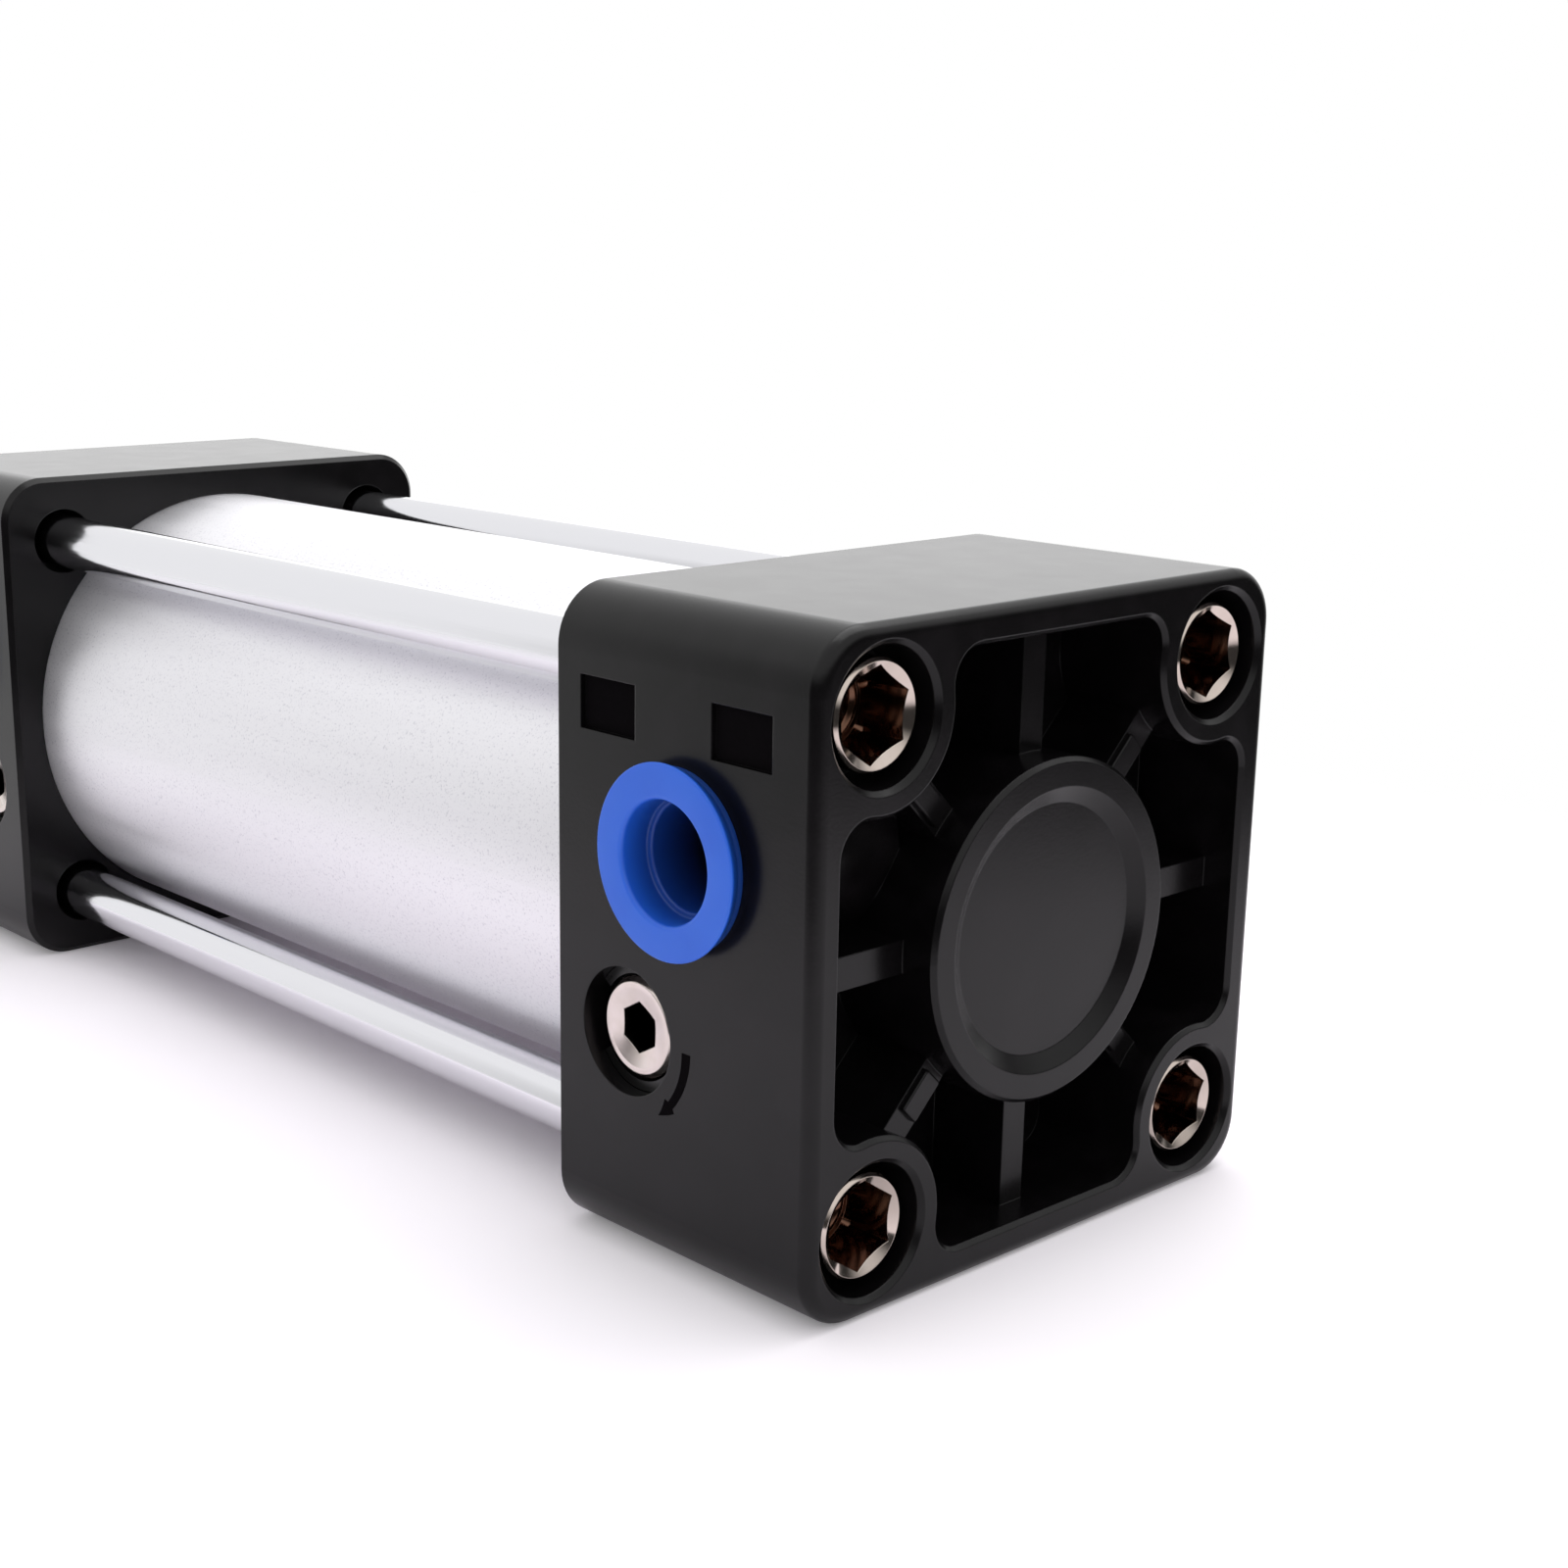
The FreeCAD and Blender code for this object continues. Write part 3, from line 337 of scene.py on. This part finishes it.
# Piston rod: steel bar, ground and hard chromed, with a stepped tail for the piston, two wrench
# flats and a rolled M12 fine thread at its tip. It slides and turns in the rod cover's bush.
CHROME = "#E6E6EA"
CHROME_GLOSS = (0.07, 0.15)
GRINDING_LINE = 0.12 * MM
GRINDING_STRETCH = (0.02, 1.0, 1.0)
ROD_RADIUS = 8 * MM
ROD_CHAMFER = 1 * MM
TAIL_RADIUS = 5 * MM
TAIL_CHAMFER = 0.5 * MM
TAIL_LENGTH = 51 * MM
FLAT_HALF_WIDTH = 7 * MM
FLAT_LENGTH = 7 * MM
FLAT_SETBACK = 2 * MM
THREAD_RADIUS = 6 * MM
THREAD_DEPTH = 0.7 * MM
THREAD_PITCH = 1.25 * MM
THREAD_LENGTH = 24 * MM
ROWS_PER_PITCH = 14
ROUND_COLUMNS = 96
SMALLEST_SINE = 0.01
angle = np.linspace(0, 2 * np.pi, ROUND_COLUMNS, endpoint=False)


def whole_rows(rows):
    """Rows of (distance along, radius) as two arrays with a column for each step round the axis; each
    value is one number for its row or an array with one for each column."""
    return [np.array([np.broadcast_to(value, ROUND_COLUMNS) for value in column]) for column in zip(*rows)]


def lathe(along, radius, centre, axis="x"):
    """Points at a distance along an axis and a radius from it: each row goes once round, and a point
    is centre + along * axis + radius * (cosine, sine) of its angle in the plane across it."""
    across, up = radius * np.cos(angle), radius * np.sin(angle)
    point = (along, across, up) if axis == "x" else (up, along, across)
    return np.stack(point, axis=-1) + np.array(centre)


def rolled(turns):
    """A rolled thread's depth over its turns: 0 at a crest and 1 at a root, by (1 - cosine) / 2."""
    return (1 - np.cos(2 * np.pi * turns)) / 2


# Hard chrome, ground and then polished lengthways: a near mirror, with hair lines that stretch its
# highlights and are drawn coarse enough to show.
hard_chrome, tree, shader, place = start_finish("ground_hard_chrome", Metallic=1.0, Base_Color=linear(CHROME))
drawn = add(tree, "ShaderNodeMapping", {"Vector": place, "Scale": GRINDING_STRETCH})
lines = add(tree, "ShaderNodeTexNoise", {"Vector": drawn.outputs["Vector"], "Scale": 1 / GRINDING_LINE,
                                         "Detail": 2.0})
gloss = add(tree, "ShaderNodeMapRange", {"Value": lines.outputs["Fac"], **between(NOISE_RANGE, "From"),
                                         **between(CHROME_GLOSS)})
feed(tree, shader, {"Roughness": gloss.outputs["Result"]})

# The rows run from the tail over the shoulder, the flats and the thread to the tip. The flats cut the
# round at half width / sine of the angle, and the thread ends in a chamfer.
tail_end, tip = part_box("piston_rod")[0].x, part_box("piston_rod")[1].x
shoulder = tail_end + TAIL_LENGTH
thread_start = tip - THREAD_LENGTH
flat_end = thread_start - FLAT_SETBACK
flat_start = flat_end - FLAT_LENGTH
flatted = np.minimum(ROD_RADIUS, FLAT_HALF_WIDTH / np.maximum(np.abs(np.sin(angle)), SMALLEST_SINE))
thread_along = np.arange(thread_start, tip, THREAD_PITCH / ROWS_PER_PITCH)
thread_turns = thread_along[:, None] / THREAD_PITCH - angle / (2 * np.pi)
point_radius = THREAD_RADIUS - np.maximum(thread_along - (tip - ROD_CHAMFER), 0)
thread = np.minimum(THREAD_RADIUS - THREAD_DEPTH * rolled(thread_turns), point_radius[:, None])
rod_along, rod_radius = whole_rows([
    (tail_end, TAIL_RADIUS - TAIL_CHAMFER), (tail_end + TAIL_CHAMFER, TAIL_RADIUS),
    (shoulder, TAIL_RADIUS), (shoulder, ROD_RADIUS), (flat_start, ROD_RADIUS), (flat_start, flatted),
    (flat_end, flatted), (flat_end, ROD_RADIUS), (thread_start - ROD_CHAMFER, ROD_RADIUS),
    (thread_start, ROD_RADIUS - ROD_CHAMFER), *zip(thread_along, thread),
    (tip, THREAD_RADIUS - ROD_CHAMFER - THREAD_DEPTH / 2)])
chromed_rod = surface("chromed_piston_rod", lathe(rod_along, rod_radius, (0, 0, 0)), hard_chrome)
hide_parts("piston_rod")
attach(chromed_rod, "rod")

# Hexagon nuts on the rod's tip and tail: cold-formed steel, zinc plated and clear passivated. The
# plating is a cool grey, crystalline under a soft shine, with its crystals drawn coarse enough to show.
ZINC = "#BFC3CA"
ZINC_DARK = "#B0B5BE"
ZINC_GLOSS = (0.2, 0.28)
ZINC_CRYSTAL = 0.2 * MM

zinc_plate, tree, shader, place = start_finish("zinc_plated_steel", Metallic=1.0)
crystals = add(tree, "ShaderNodeTexVoronoi", {"Vector": place, "Scale": 1 / ZINC_CRYSTAL})
tint = add(tree, "ShaderNodeSeparateColor", {"Color": crystals.outputs["Color"]}).outputs[0]
colour = add(tree, "ShaderNodeMix", {0: tint, 6: linear(ZINC), 7: linear(ZINC_DARK)}, data_type="RGBA")
gloss = add(tree, "ShaderNodeMapRange", {"Value": tint, **between(ZINC_GLOSS)})
edge = add(tree, "ShaderNodeBevel", {"Radius": EDGE_SOFTNESS}, samples=EDGE_SAMPLES)
feed(tree, shader, {"Base Color": colour.outputs[2], "Roughness": gloss.outputs["Result"],
                    "Normal": edge.outputs["Normal"]})
dress(zinc_plate, "rod_end_nut", "piston_nut")

# Tie rods: four slim steel rods, drawn, chromed and threaded at both ends, that pull the covers
# together over the barrel.
dress(hard_chrome, "tie_rods")

# Tie-rod nuts: round steel nuts sunk in the covers' corners, with a countersunk hexagon socket, an
# M6 thread behind it for a bracket's screw and the tie rod screwed in from the far end.
NICKEL = "#D3C7BE"
NICKEL_DARK = "#C4B6AC"
NICKEL_GLOSS = (0.08, 0.14)
NICKEL_CLOUD = 1.2 * MM
NICKEL_EDGE = 0.08 * MM
NUT_SOCKET_SHADE_BROWN = "#664B3D"
SOCKET_SHADE_DEPTHS = (0.5 * MM, 1.8 * MM)
SOCKET_SHADE_STEPS = np.array((0.3, 0.6, 0.9, 1.3, 1.8)) * MM
NUT_RADIUS = 4 * MM
NUT_EDGE = 0.25 * MM
NUT_LENGTH = 15 * MM
NUT_SOCKET = 6 * MM
NUT_SOCKET_DEPTH = 4 * MM
NUT_SINK_SLOPE = math.tan(math.radians(30))
NUT_TURNS = (66, 57, 64, 70)
NUT_SIDES = ((1, 1), (-1, 1), (1, -1), (-1, -1))
INWARD = {"cap": 1, "rod": -1}
SCREW_RADIUS = 2.5 * MM
SCREW_THREAD_DEPTH = 0.45 * MM
SCREW_PITCH = 1 * MM
SCREW_LENGTH = 4.5 * MM
TIE_ROD_RADIUS = 3 * MM

# Bright nickel over steel: warm and glossy, a little cloudy where it was handled. Down in the socket,
# where little light gets in, the colour is painted shade: it turns dark brown with depth.
bright_nickel, tree, shader, place = start_finish("bright_nickel_plated_steel", Metallic=1.0)
cloud = add(tree, "ShaderNodeTexNoise", {"Vector": place, "Scale": 1 / NICKEL_CLOUD, "Detail": 4.0})
tone = add(tree, "ShaderNodeMix", {0: cloud.outputs["Fac"], 6: linear(NICKEL), 7: linear(NICKEL_DARK)},
           data_type="RGBA")
painted_shade = add(tree, "ShaderNodeAttribute", {}, attribute_name="socket_painted_shade")
# painted shade: the nickel turns dark brown with depth down the socket
colour = add(tree, "ShaderNodeMix", {0: painted_shade.outputs["Fac"], 6: tone.outputs[2], 7: linear(NUT_SOCKET_SHADE_BROWN)},
             data_type="RGBA")
gloss = add(tree, "ShaderNodeMapRange", {"Value": cloud.outputs["Fac"], **between(NOISE_RANGE, "From"),
                                         **between(NICKEL_GLOSS)})
edge = add(tree, "ShaderNodeBevel", {"Radius": NICKEL_EDGE}, samples=EDGE_SAMPLES)
feed(tree, shader, {"Base Color": colour.outputs[2], "Roughness": gloss.outputs["Result"],
                    "Normal": edge.outputs["Normal"]})

# One nut from its face at 0 inwards: the rows run down the countersink and the hexagon, along the
# screw's thread to the tie rod, and back over the outside, and close on themselves. The hexagon's
# radius is half its width / cosine of the angle from the nearest flat, and the steps down its wall
# carry the painted shade. Each nut keeps the turn, in degrees, at which it came tight.
hexagon = NUT_SOCKET / 2 / np.cos((angle + np.pi / 6) % (np.pi / 3) - np.pi / 6)
sink = (NUT_RADIUS - NUT_EDGE - hexagon) * NUT_SINK_SLOPE
screw_start = NUT_SOCKET_DEPTH + SCREW_PITCH / 2
screw_end = NUT_SOCKET_DEPTH + SCREW_LENGTH
screw_along = np.arange(screw_start, screw_end, SCREW_PITCH / ROWS_PER_PITCH)
screw_turns = screw_along[:, None] / SCREW_PITCH - angle / (2 * np.pi)
screw = SCREW_RADIUS + SCREW_THREAD_DEPTH * rolled(screw_turns)
nut_along, nut_radius = whole_rows([
    (0, NUT_RADIUS - NUT_EDGE), (sink, hexagon), *((sink + step, hexagon) for step in SOCKET_SHADE_STEPS),
    (NUT_SOCKET_DEPTH, hexagon), (screw_start, SCREW_RADIUS + SCREW_THREAD_DEPTH),
    *zip(screw_along, screw), (screw_end, SCREW_RADIUS), (screw_end, TIE_ROD_RADIUS),
    (NUT_LENGTH, TIE_ROD_RADIUS), (NUT_LENGTH, NUT_RADIUS), (NUT_EDGE, NUT_RADIUS)])
# painted shade for each row: none at the face, full deep in the socket, none on the outside
socket_shade_share = np.interp(nut_along, SOCKET_SHADE_DEPTHS, (0, 1)) * (nut_radius < NUT_RADIUS - NUT_EDGE)
for end, way in INWARD.items():
    low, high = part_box(f"{end}_tie_nuts")
    face = low.x if end == "cap" else high.x
    spread = high.y - NUT_RADIUS
    inward, across, up = np.moveaxis(lathe(way * nut_along, nut_radius, (0, 0, 0)), -1, 0)
    for number, (turn, (side, rise)) in enumerate(zip(NUT_TURNS, NUT_SIDES), start=1):
        cosine, sine = math.cos(math.radians(turn)), math.sin(math.radians(turn))
        grid = np.stack([face + inward, side * spread + across * cosine - up * sine,
                         rise * spread + across * sine + up * cosine], axis=-1)
        nut = surface(f"{end}_tie_nut_{number}", grid, bright_nickel, ring=True)
        socket_painted_shade = nut.data.attributes.new("socket_painted_shade", "FLOAT", "POINT")
        socket_painted_shade.data.foreach_set("value", socket_shade_share.ravel())
        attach(nut, "cylinder")
        if number == 1:
            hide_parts(f"{end}_tie_nuts")

# Cushion needles: turned steel screws, nickel plated, with a dished head and a hexagon socket. Each
# is screwed deeper or shallower into its pocket to set how fast the air leaves at the stroke's end.
NEEDLE_NICKEL = "#E6DCDA"
NEEDLE_GLOSS = (0.12, 0.22)
NEEDLE_DISH = 0.5 * MM
NEEDLE_EDGE = 0.15 * MM
NEEDLE_SOCKET_SHADE_BLACK = "#040303"

# The same nickel, a little duller where a key has scuffed it. Little light gets into the narrow socket,
# so shade is painted there: the colour goes to black just under the dish.
needle_nickel, tree, shader, place = start_finish("nickel_plated_needle", Metallic=1.0)
scuff = add(tree, "ShaderNodeTexNoise", {"Vector": place, "Scale": 1 / NICKEL_CLOUD, "Detail": 4.0})
tone = add(tree, "ShaderNodeMix", {0: scuff.outputs["Fac"], 6: linear(NEEDLE_NICKEL), 7: linear(NICKEL)},
           data_type="RGBA")
level = add(tree, "ShaderNodeSeparateXYZ", {"Vector": place}).outputs["Y"]
head_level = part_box("cap_needle")[1].y
# painted shade: black from just under the dish downwards
painted_shade = add(tree, "ShaderNodeMapRange", {"Value": level, "From Min": head_level - NEEDLE_DISH,
                                         "From Max": head_level - 2 * NEEDLE_DISH})
colour = add(tree, "ShaderNodeMix", {0: painted_shade.outputs["Result"], 6: tone.outputs[2],
                                     7: linear(NEEDLE_SOCKET_SHADE_BLACK)}, data_type="RGBA")
gloss = add(tree, "ShaderNodeMapRange", {"Value": scuff.outputs["Fac"], **between(NOISE_RANGE, "From"),
                                         **between(NEEDLE_GLOSS)})
edge = add(tree, "ShaderNodeBevel", {"Radius": NEEDLE_EDGE}, samples=EDGE_SAMPLES)
feed(tree, shader, {"Base Color": colour.outputs[2], "Roughness": gloss.outputs["Result"],
                    "Normal": edge.outputs["Normal"]})
dress(needle_nickel, "cap_needle", "rod_needle")

# Spring rings: open rings of spring steel, blacked, that snap into a groove of the needle's pocket
# and keep the needle from coming out.
OXIDE_BLACK = "#050505"
OXIDE_GLOSS = (0.22, 0.4)
RING_INNER = 4.1 * MM
RING_OUTER = 4.85 * MM
RING_DEPTH = 1.35 * MM
RING_THICKNESS = 0.6 * MM
RING_GAP = 70
RING_STEPS = 72


def side_middle(name):
    """The point in the plane of the covers' side on the axis of a node that is set into it."""
    low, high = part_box(name)
    return np.array(((low.x + high.x) / 2, side_face, (low.z + high.z) / 2))


# Black oxide on spring steel: near black, with enough gloss for a line of light along the ring.
black_oxide, tree, shader, place = start_finish("black_oxide_spring_steel", Base_Color=linear(OXIDE_BLACK))
grain = add(tree, "ShaderNodeTexNoise", {"Vector": place, "Scale": 1 / CAST_GRAIN, "Detail": 3.0})
gloss = add(tree, "ShaderNodeMapRange", {"Value": grain.outputs["Fac"], **between(OXIDE_GLOSS)})
feed(tree, shader, {"Roughness": gloss.outputs["Result"]})

# A rectangle carried round the needle's axis, from one side of the gap to the other.
bend = np.radians(np.linspace(RING_GAP / 2, 360 - RING_GAP / 2, RING_STEPS))[:, None]
section_radius = np.array((RING_INNER, RING_OUTER, RING_OUTER, RING_INNER))
section_depth = RING_DEPTH + np.array((0, 0, 1, 1)) * RING_THICKNESS
ring_grid = np.stack([section_radius * np.cos(bend), 0 * bend - section_depth,
                      section_radius * np.sin(bend)], axis=-1)
for end in INWARD:
    ring_place = side_middle(f"{end}_needle")
    spring_ring = surface(f"{end}_needle_spring_ring", ring_grid + ring_place, black_oxide)
    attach(spring_ring, "cylinder")

# Turn marks: a curved arrow cast beside each needle that shows which way to turn it. It stands in for
# an engraved groove: a strip a hair proud of the cover, in the recesses' rough, matt black, which
# paints the groove's shade.
MARK_RADIUS = 6.6 * MM
MARK_WIDTH = 0.85 * MM
MARK_TAPER = 0.35
MARK_HEAD = 1.4 * MM
MARK_HEAD_SHARE = 0.25
MARK_TIP = 0.02 * MM
MARK_PROUD = 0.04 * MM
MARK_ROOT = 0.1 * MM
MARK_START = 180
MARK_SWEEP = 56
MARK_STEPS = 48

# A flat bar carried along an arc: it tapers to the head, which starts wide and narrows to the tip.
share = np.linspace(0, 1, MARK_STEPS)
head_share = np.clip((share - 1 + MARK_HEAD_SHARE) / MARK_HEAD_SHARE, 0, 1)
width = np.where(head_share > 0, MARK_HEAD * (1 - head_share), MARK_WIDTH * (1 - MARK_TAPER * share))
half_width = np.maximum(width / 2, MARK_TIP)[:, None]
bend = np.radians(MARK_START + MARK_SWEEP * share)[:, None]
reach = MARK_RADIUS + half_width * np.array((-1, -1, 1, 1))
mark_level = 0 * bend + np.array((-MARK_ROOT, MARK_PROUD, MARK_PROUD, -MARK_ROOT))
for end, way in INWARD.items():
    grid = np.stack([way * reach * np.cos(bend), mark_level, reach * np.sin(bend)], axis=-1)
    mark_place = side_middle(f"{end}_needle")
    # the mark's black is the groove's painted shade
    painted_groove_mark = surface(f"{end}_needle_turn_mark", grid + mark_place, eroded_casting)
    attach(painted_groove_mark, "cylinder")

# Dust plugs: soft polyethylene caps, injection moulded in blue and pushed into the ports by hand.
# Each is a thin flange on a shoulder, with a tapered skirt and a deep stepped cup.
PLUG_BLUE = "#2368DC"
PLUG_FLOWED = "#1C5CD0"
PLUG_PAINTED_SHADE = "#02031A"
PLUG_GLOSS = (0.36, 0.5)
PLUG_FLOW = 5 * MM
PLUG_ROUNDING_STEPS = 7
CUP_SHADE_LEVELS = (-3.0 * MM, 1.2 * MM)
UNDERSIDE_LEVELS = np.array((-0.2, 0, 0.9, 1.3)) * MM
UNDERSIDE_PAINTED_SHADES = (0, 0.6, 0.6, 0)
# height over the cover's face, radius and rounding, from the cup's floor up over the flange and down
# the skirt to its end
PLUG_OUTLINE = np.array((
    (-6.4, 1.0, 0), (-6.4, 4.0, 0.5), (-1.05, 4.0, 0.25), (-1.05, 4.5, 0.2), (1.45, 4.5, 0.4),
    (1.45, 7.3, 0.35), (0.45, 6.7, 0.15), (0.3, 6.75, 0.05), (0.0, 6.75, 0.05), (0.0, 6.5, 0.05),
    (-7.6, 6.3, 0.4), (-7.6, 1.0, 0))) * MM

# Moulded polyethylene: light sinks a little way in, so edges glow, and the skin has a waxy, slightly
# uneven shine. Down the cup the colour is painted shade, going dark.
blue_polyethylene, tree, shader, place = start_finish(
    "moulded_blue_polyethylene", IOR=1.51, Subsurface_Weight=0.25, Subsurface_Radius=(0.15, 0.35, 1.0),
    Subsurface_Scale=0.8 * MM)
flow = add(tree, "ShaderNodeTexNoise", {"Vector": place, "Scale": 1 / PLUG_FLOW, "Detail": 3.0})
tone = add(tree, "ShaderNodeMix", {0: flow.outputs["Fac"], 6: linear(PLUG_BLUE), 7: linear(PLUG_FLOWED)},
           data_type="RGBA")
painted_shade = add(tree, "ShaderNodeAttribute", {}, attribute_name="cup_painted_shade")
colour = add(tree, "ShaderNodeMix", {0: painted_shade.outputs["Fac"], 6: tone.outputs[2], 7: linear(PLUG_PAINTED_SHADE)},
             data_type="RGBA")
gloss = add(tree, "ShaderNodeMapRange", {"Value": flow.outputs["Fac"], **between(PLUG_GLOSS)})
feed(tree, shader, {"Base Color": colour.outputs[2], "Roughness": gloss.outputs["Result"]})

# The outline is turned about the port's axis. Painted shade darkens its colour down the cup, and
# under the flange, where the plug shades itself.
outline = rounded_outline(PLUG_OUTLINE[:, :2], PLUG_OUTLINE[:, 2], PLUG_ROUNDING_STEPS)
cup_shade_share = np.interp(outline[:, 0], CUP_SHADE_LEVELS, (1, 0))
brim = np.argmax(outline[:, 0])
cup_shade_share[brim:] = np.interp(outline[brim:, 0], UNDERSIDE_LEVELS, UNDERSIDE_PAINTED_SHADES)
# painted shade at the middle points of the cup's floor and of the skirt's end
fan_shade_shares = (1, 0)
plug_along, plug_radius = whole_rows(outline)
for end in INWARD:
    grid = lathe(plug_along, plug_radius, side_middle(f"{end}_port_plug"), axis="y")
    plug = surface(f"{end}_dust_plug", grid, blue_polyethylene)
    cup_painted_shade = plug.data.attributes.new("cup_painted_shade", "FLOAT", "POINT")
    cup_painted_shade.data.foreach_set("value", np.concatenate([np.repeat(cup_shade_share, ROUND_COLUMNS), fan_shade_shares]))
    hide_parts(f"{end}_port_plug")
    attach(plug, f"{end}_plug")

# Floor: a pale matt sheet under the cylinder that fades out into the white round it. It takes the
# cylinder's shade, and where the camera sees it beside the cylinder it is lifted a little to white.
FLOOR_WHITE = "#FAF5FB"
FLOOR_MIDDLE = (16.8 * MM, 0, 0)
FLOOR_REACH = (240 * MM, 170 * MM, 1)
FLOOR_FADE = (0.5, 0.95)
FLOOR_LIFT = 0.2
SHADE_MIDDLE = (70 * MM, 0, 0)
SHADE_CORE = (48 * MM, 0, 0)
SHADE_WIDTH = (8 * MM, 32 * MM)
PURE_WHITE = "#FFFFFF"

bpy.ops.mesh.primitive_plane_add(size=2, location=(0, 0, cad_box[0].z))
floor = bpy.context.object
floor.name = "floor"
pale_floor, tree, shader, place = start_finish(
    "pale_matt_floor", Base_Color=linear(FLOOR_WHITE), Roughness=0.9, Specular_IOR_Level=0.0,
    Emission_Color=linear(PURE_WHITE))
from_middle = add(tree, "ShaderNodeVectorMath", {0: place, 1: FLOOR_MIDDLE}, operation="SUBTRACT")
scaled = add(tree, "ShaderNodeVectorMath", {0: from_middle.outputs["Vector"], 1: FLOOR_REACH},
             operation="DIVIDE")
distance = add(tree, "ShaderNodeVectorMath", {0: scaled.outputs["Vector"]}, operation="LENGTH")
fade = add(tree, "ShaderNodeMapRange",
           {"Value": distance.outputs["Value"], **between(FLOOR_FADE, "From"), **between((1, 0))},
           interpolation_type="SMOOTHSTEP")
from_shade = add(tree, "ShaderNodeVectorMath", {0: place, 1: SHADE_MIDDLE}, operation="SUBTRACT")
folded = add(tree, "ShaderNodeVectorMath", {0: from_shade.outputs["Vector"]}, operation="ABSOLUTE")
from_core = add(tree, "ShaderNodeVectorMath", {0: folded.outputs["Vector"], 1: SHADE_CORE},
                operation="SUBTRACT")
sides = add(tree, "ShaderNodeSeparateXYZ", {"Vector": from_core.outputs["Vector"]})
away = add(tree, "ShaderNodeMath", {0: sides.outputs["X"], 1: sides.outputs["Y"]}, operation="MAXIMUM")
beside = add(tree, "ShaderNodeMapRange",
             {"Value": away.outputs[0], **between(SHADE_WIDTH, "From"), **between((0, FLOOR_LIFT))},
             interpolation_type="SMOOTHSTEP")
path = add(tree, "ShaderNodeLightPath", {})
lift = add(tree, "ShaderNodeMath", {0: path.outputs["Is Camera Ray"], 1: beside.outputs["Result"]},
           operation="MULTIPLY")
feed(tree, shader, {"Alpha": fade.outputs["Result"], "Emission Strength": lift.outputs[0]})
floor.data.materials.append(pale_floor)

# Studio: white where the camera looks. Metal and gloss mirror a white cove behind and above and a dim
# room on the camera's side, and matt surfaces get an even fill.
BACKDROP = (0.9, -0.43, 0)
BACKDROP_EDGE = (0.08, 0.5)
CEILING_EDGE = (0.12, 0.5)
ROOM_DIM = 0.04
WORLD_FILL = 0.88

world = bpy.data.worlds.new("studio")
bpy.context.scene.world = world
world.use_nodes = True
tree = world.node_tree
toward = add(tree, "ShaderNodeTexCoord", {}).outputs["Generated"]
turned_to = add(tree, "ShaderNodeVectorMath", {0: toward, 1: BACKDROP}, operation="DOT_PRODUCT")
behind = add(tree, "ShaderNodeMapRange",
             {"Value": turned_to.outputs["Value"], **between(BACKDROP_EDGE, "From")},
             interpolation_type="SMOOTHSTEP")
upward = add(tree, "ShaderNodeSeparateXYZ", {"Vector": toward}).outputs["Z"]
above = add(tree, "ShaderNodeMapRange", {"Value": upward, **between(CEILING_EDGE, "From")},
            interpolation_type="SMOOTHSTEP")
cove = add(tree, "ShaderNodeMath", {0: behind.outputs["Result"], 1: above.outputs["Result"]},
           operation="MAXIMUM")
room = add(tree, "ShaderNodeMapRange", {"Value": cove.outputs[0], **between((ROOM_DIM, 1))})
path = add(tree, "ShaderNodeLightPath", {})
mirrored = add(tree, "ShaderNodeMath", {0: path.outputs["Is Glossy Ray"],
                                        1: path.outputs["Is Transmission Ray"]}, operation="MAXIMUM")
seen = add(tree, "ShaderNodeMix", {0: path.outputs["Is Diffuse Ray"], 2: 1.0, 3: WORLD_FILL})
strength = add(tree, "ShaderNodeMix", {0: mirrored.outputs[0], 2: seen.outputs[0], 3: room.outputs["Result"]})
feed(tree, tree.nodes["Background"], {"Color": linear(PURE_WHITE), "Strength": strength.outputs[0]})

# Lamps: a square softbox above and a little behind the cylinder, and a long low panel far behind it.
# Each has its place, breadth and height in metres and its watts.
LAMP_AIM = (0.06, 0, 0)
LAMPS = {"softbox": ((0.08, -0.20, 0.60), 0.6, 0.6, 2.0), "panel": ((0.90, -0.71, 0.18), 1.5, 0.4, 1.1)}
for name, (spot, breadth, height, power) in LAMPS.items():
    lamp = bpy.data.lights.new(name, "AREA")
    lamp.shape = "RECTANGLE"
    lamp.size = breadth
    lamp.size_y = height
    lamp.energy = power
    lamp_object = bpy.data.objects.new(name, lamp)
    lamp_object.location = spot
    lamp_object.rotation_euler = (Vector(LAMP_AIM) - Vector(spot)).to_track_quat("-Z", "Y").to_euler()
    lamp_object.visible_camera = False
    bpy.context.scene.collection.objects.link(lamp_object)

# Camera: at the photograph's place, fitted to the straight edges of the covers and the tie rods. Its
# shift moves the lens's axis from the middle of the picture to the pixel where the fit has it.
CAMERA_PLACE = (-105.31 * MM, 131.13 * MM, 50.33 * MM)
CAMERA_TURN = (75.495, -0.441, -131.836)
FOCAL_PIXELS = 2397.3
PHOTO_PIXELS = 1600
OPTICAL_AXIS = (701.1, 848.7)
SENSOR_WIDTH = 36
NEAR_CLIP = 0.01
camera = bpy.data.cameras.new("camera")
camera.sensor_width = SENSOR_WIDTH
camera.lens = FOCAL_PIXELS / PHOTO_PIXELS * SENSOR_WIDTH
camera.shift_x = 0.5 - OPTICAL_AXIS[0] / PHOTO_PIXELS
camera.shift_y = OPTICAL_AXIS[1] / PHOTO_PIXELS - 0.5
camera.clip_start = NEAR_CLIP
camera_object = bpy.data.objects.new("camera", camera)
camera_object.location = CAMERA_PLACE
camera_object.rotation_euler = [math.radians(turn) for turn in CAMERA_TURN]
bpy.context.scene.collection.objects.link(camera_object)
bpy.context.scene.camera = camera_object
bpy.context.scene.view_settings.view_transform = "Standard"
